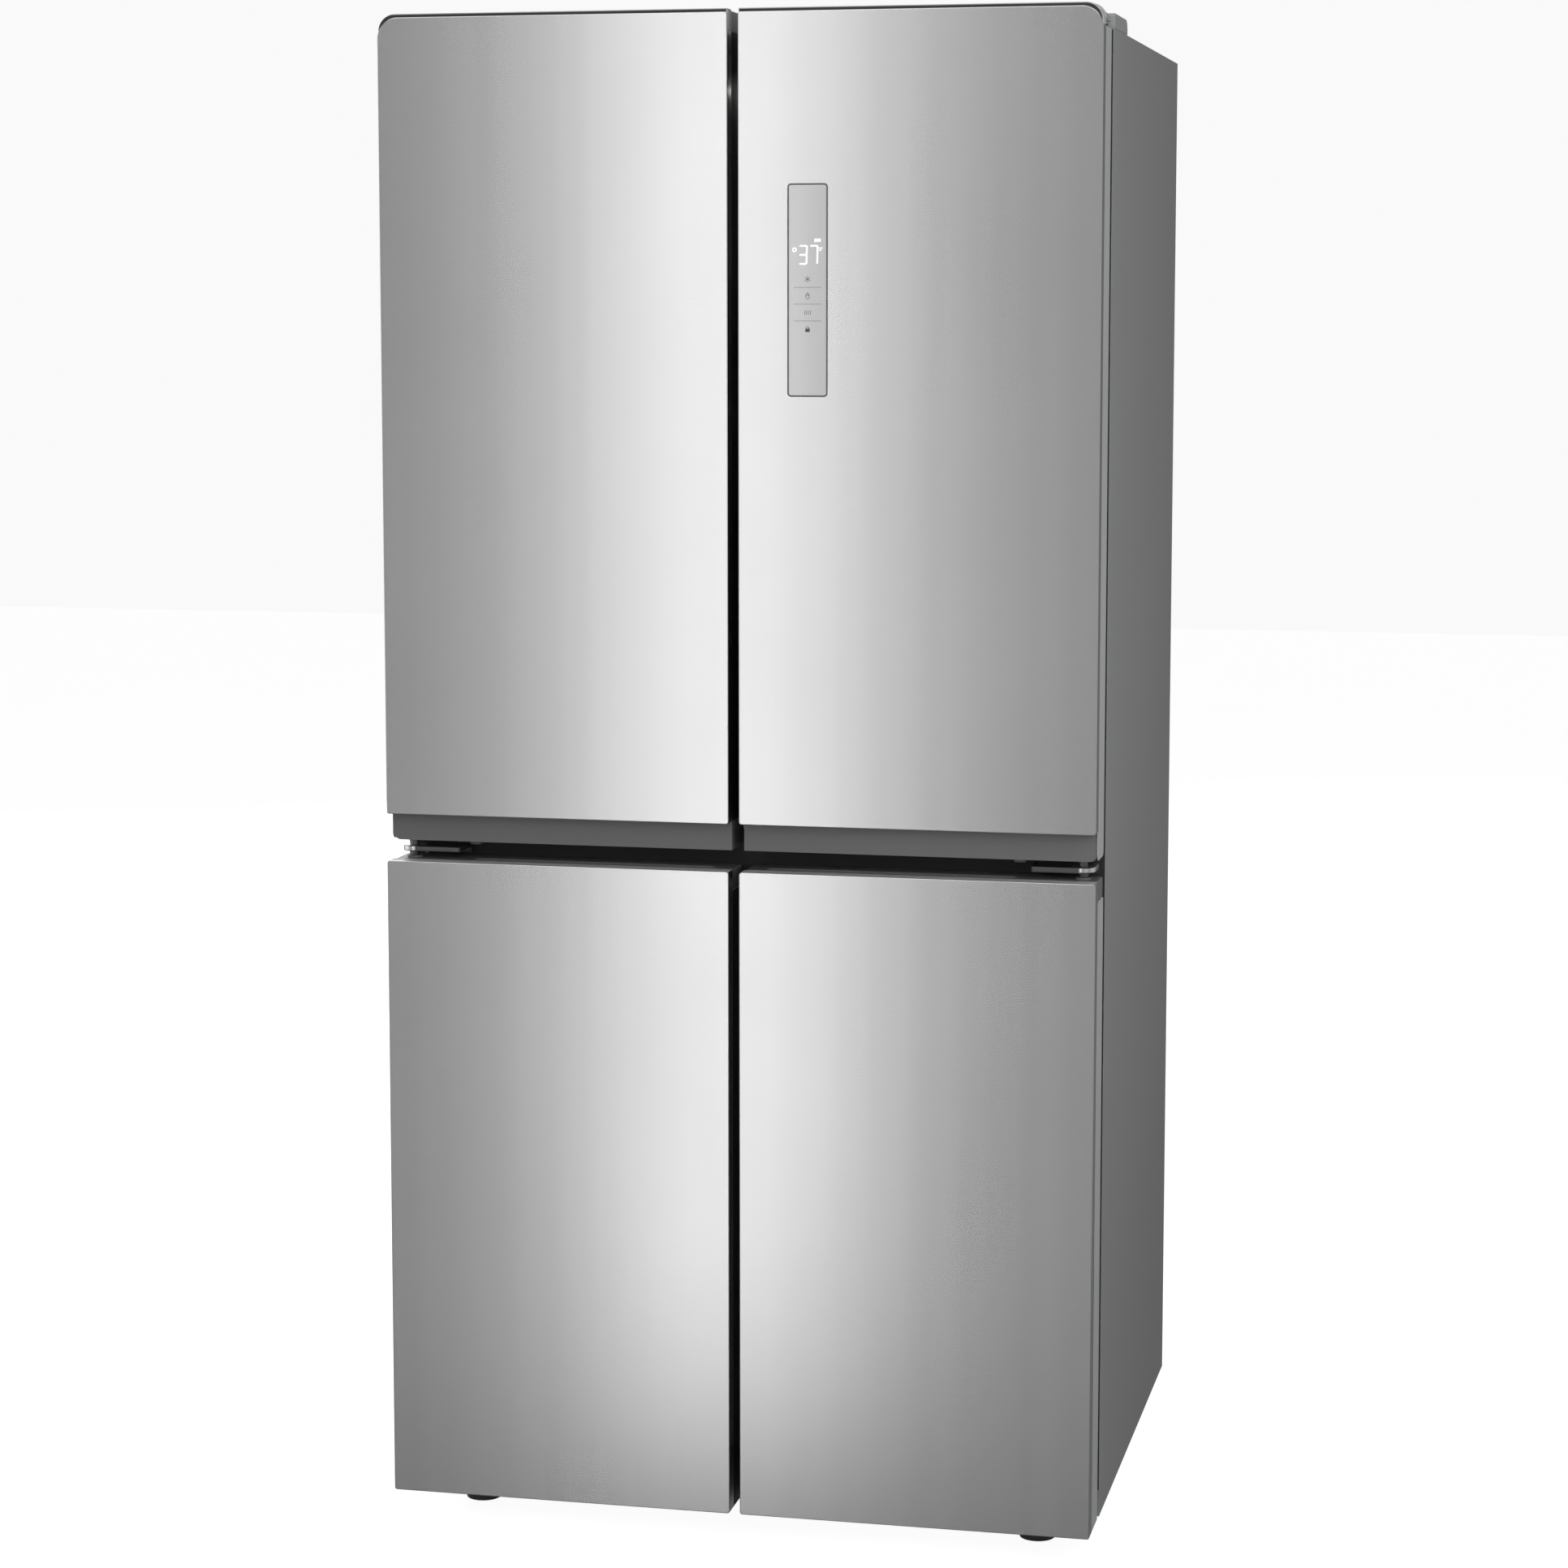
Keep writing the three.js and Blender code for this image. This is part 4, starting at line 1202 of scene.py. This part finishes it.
def rooms():
    step = (Vector((-1, FRONT + STEP_DEPTH, 0)), Vector((1, 1, STEP_TOP)))
    sunk = 0.3 * MM
    shelf_levels = [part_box(node)[0].z - sunk for node in SHELVES]
    drawer_levels = [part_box(f"freezer_drawer_left_{number}")[0].z - sunk for number in (1, 2)]
    liner("fresh_liner", FRESH_ROOM, None, shelf_levels, (150 * MM, 620 * MM), 7 * MM)
    liner("freezer_liner", FREEZER_ROOM, step, drawer_levels, (150 * MM, 560 * MM), 6 * MM)
    softened("freezer_divider", 3 * MM, "white", "cabinet", 3)
    softened("freezer_duct_cover", 1.2 * MM, "white", "cabinet", 3)


rooms()
shelves_and_drawers()
air_duct()
ceiling_lamp()
compressor()


# ---------------------------------------------------------------- studio

AROUND = 0.15
BACKDROP = 0.95
FLOOR_GLOW = 0.935
MIDDLE = (0, 0, 0.9)
GLOSS_ONLY = {"spreads": False}
FILL_ONLY = {"seen_in_gloss": False}


def area_light(name, at, aim, size, radiance, seen_in_gloss=True, spreads=True):
    """A soft rectangular light with the brightness that its reflection shows."""
    data = bpy.data.lights.new(name, "AREA")
    data.shape = "RECTANGLE"
    data.size, data.size_y = size
    data.energy = radiance * pi * size[0] * size[1]
    light = bpy.data.objects.new(name, data)
    light.location = at
    light.rotation_euler = (Vector(aim) - Vector(at)).to_track_quat("-Z", "Y").to_euler()
    light.visible_camera = False
    light.visible_glossy = seen_in_gloss
    light.visible_diffuse = spreads
    bpy.context.scene.collection.objects.link(light)


def white_sweep():
    """The background is white to the camera and dim to everything else."""
    world = bpy.data.worlds.new("studio_white")
    bpy.context.scene.world = world
    world.use_nodes = True
    tree = world.node_tree
    tree.nodes.clear()
    output = tree.nodes.new("ShaderNodeOutputWorld")
    mix = tree.nodes.new("ShaderNodeMixShader")
    path = tree.nodes.new("ShaderNodeLightPath")
    tree.links.new(path.outputs["Is Camera Ray"], mix.inputs[0])
    for slot, strength in ((1, AROUND), (2, BACKDROP)):
        backdrop = tree.nodes.new("ShaderNodeBackground")
        backdrop.inputs["Strength"].default_value = strength
        backdrop.inputs["Color"].default_value = (1, 1, 1, 1)
        tree.links.new(backdrop.outputs[0], mix.inputs[slot])
    tree.links.new(mix.outputs[0], output.inputs[0])


def pale_floor():
    """A floor as white as the background, which throws no light or shadow on the refrigerator."""
    bpy.ops.object.select_all(action="DESELECT")
    bpy.ops.mesh.primitive_plane_add(size=24, location=(0, 0, 0))
    floor = settle("studio_floor")
    paint = Finish("studio_floor_paint", Roughness=0.7, Emission_Strength=FLOOR_GLOW)
    paint.look(paint.blend(paint.noise(2.0), grey(0.24), grey(0.26)))
    paint.feed(paint.shader, {"Emission Color": (1, 1, 1, 1)})
    floor.data.materials.append(paint.material)
    floor.visible_glossy = False
    floor.visible_diffuse = False
    floor.visible_shadow = False


def studio():
    """Dim cards all round, one bright strip for the gleam down the doors, and soft fill."""
    white_sweep()
    pale_floor()
    doors = (0, FRONT, 0.9)
    area_light("front_card", (-0.9, -6.4, 1.2), doors, (7.5, 6.8), 0.12)
    area_light("right_gleam", (1.0, -6.4, 1.2), doors, (3.2, 6.8), 0.10)
    area_light("centre_strip", (-0.93, -4.2, 1.5), (-0.1, FRONT, 1.4), (0.36, 5.3), 3.15)
    area_light("side_strip", (1.5, -1.3, 1.2), (0.42, 0.0, 1.1), (0.4, 2.2), 4.6, **FILL_ONLY)
    area_light("top_softbox", (0.1, -0.6, 4.2), (0, 0, 0), (4, 4), 0.5, **FILL_ONLY)
    area_light("front_fill", (0.9, -4.2, 2.6), MIDDLE, (3.2, 2.2), 1.4, **FILL_ONLY)
    area_light("left_card", (-5.4, -0.6, 1.7), MIDDLE, (5, 5), 0.9)
    area_light("right_card", (5.2, 0.2, 1.6), MIDDLE, (5, 5), 0.42, **GLOSS_ONLY)
    area_light("back_card", (-2.4, 5.2, 2.2), MIDDLE, (4, 5), 2.2)
    area_light("over_card", (0, -1.9, 3.9), (0, -1.7, 0), (5, 4.4), 1.4, **GLOSS_ONLY)
    area_light("far_right_card", (3.8, -4.8, 1.4), MIDDLE, (4.2, 4.8), 0.42, **GLOSS_ONLY)
    area_light("far_left_card", (-5.0, -3.6, 1.4), MIDDLE, (4.2, 4.8), 0.42, **GLOSS_ONLY)
    area_light("far_back_card", (4.0, 3.6, 1.5), MIDDLE, (3.6, 4.8), 0.26, **GLOSS_ONLY)
    bpy.context.scene.view_settings.view_transform = "Standard"


studio()
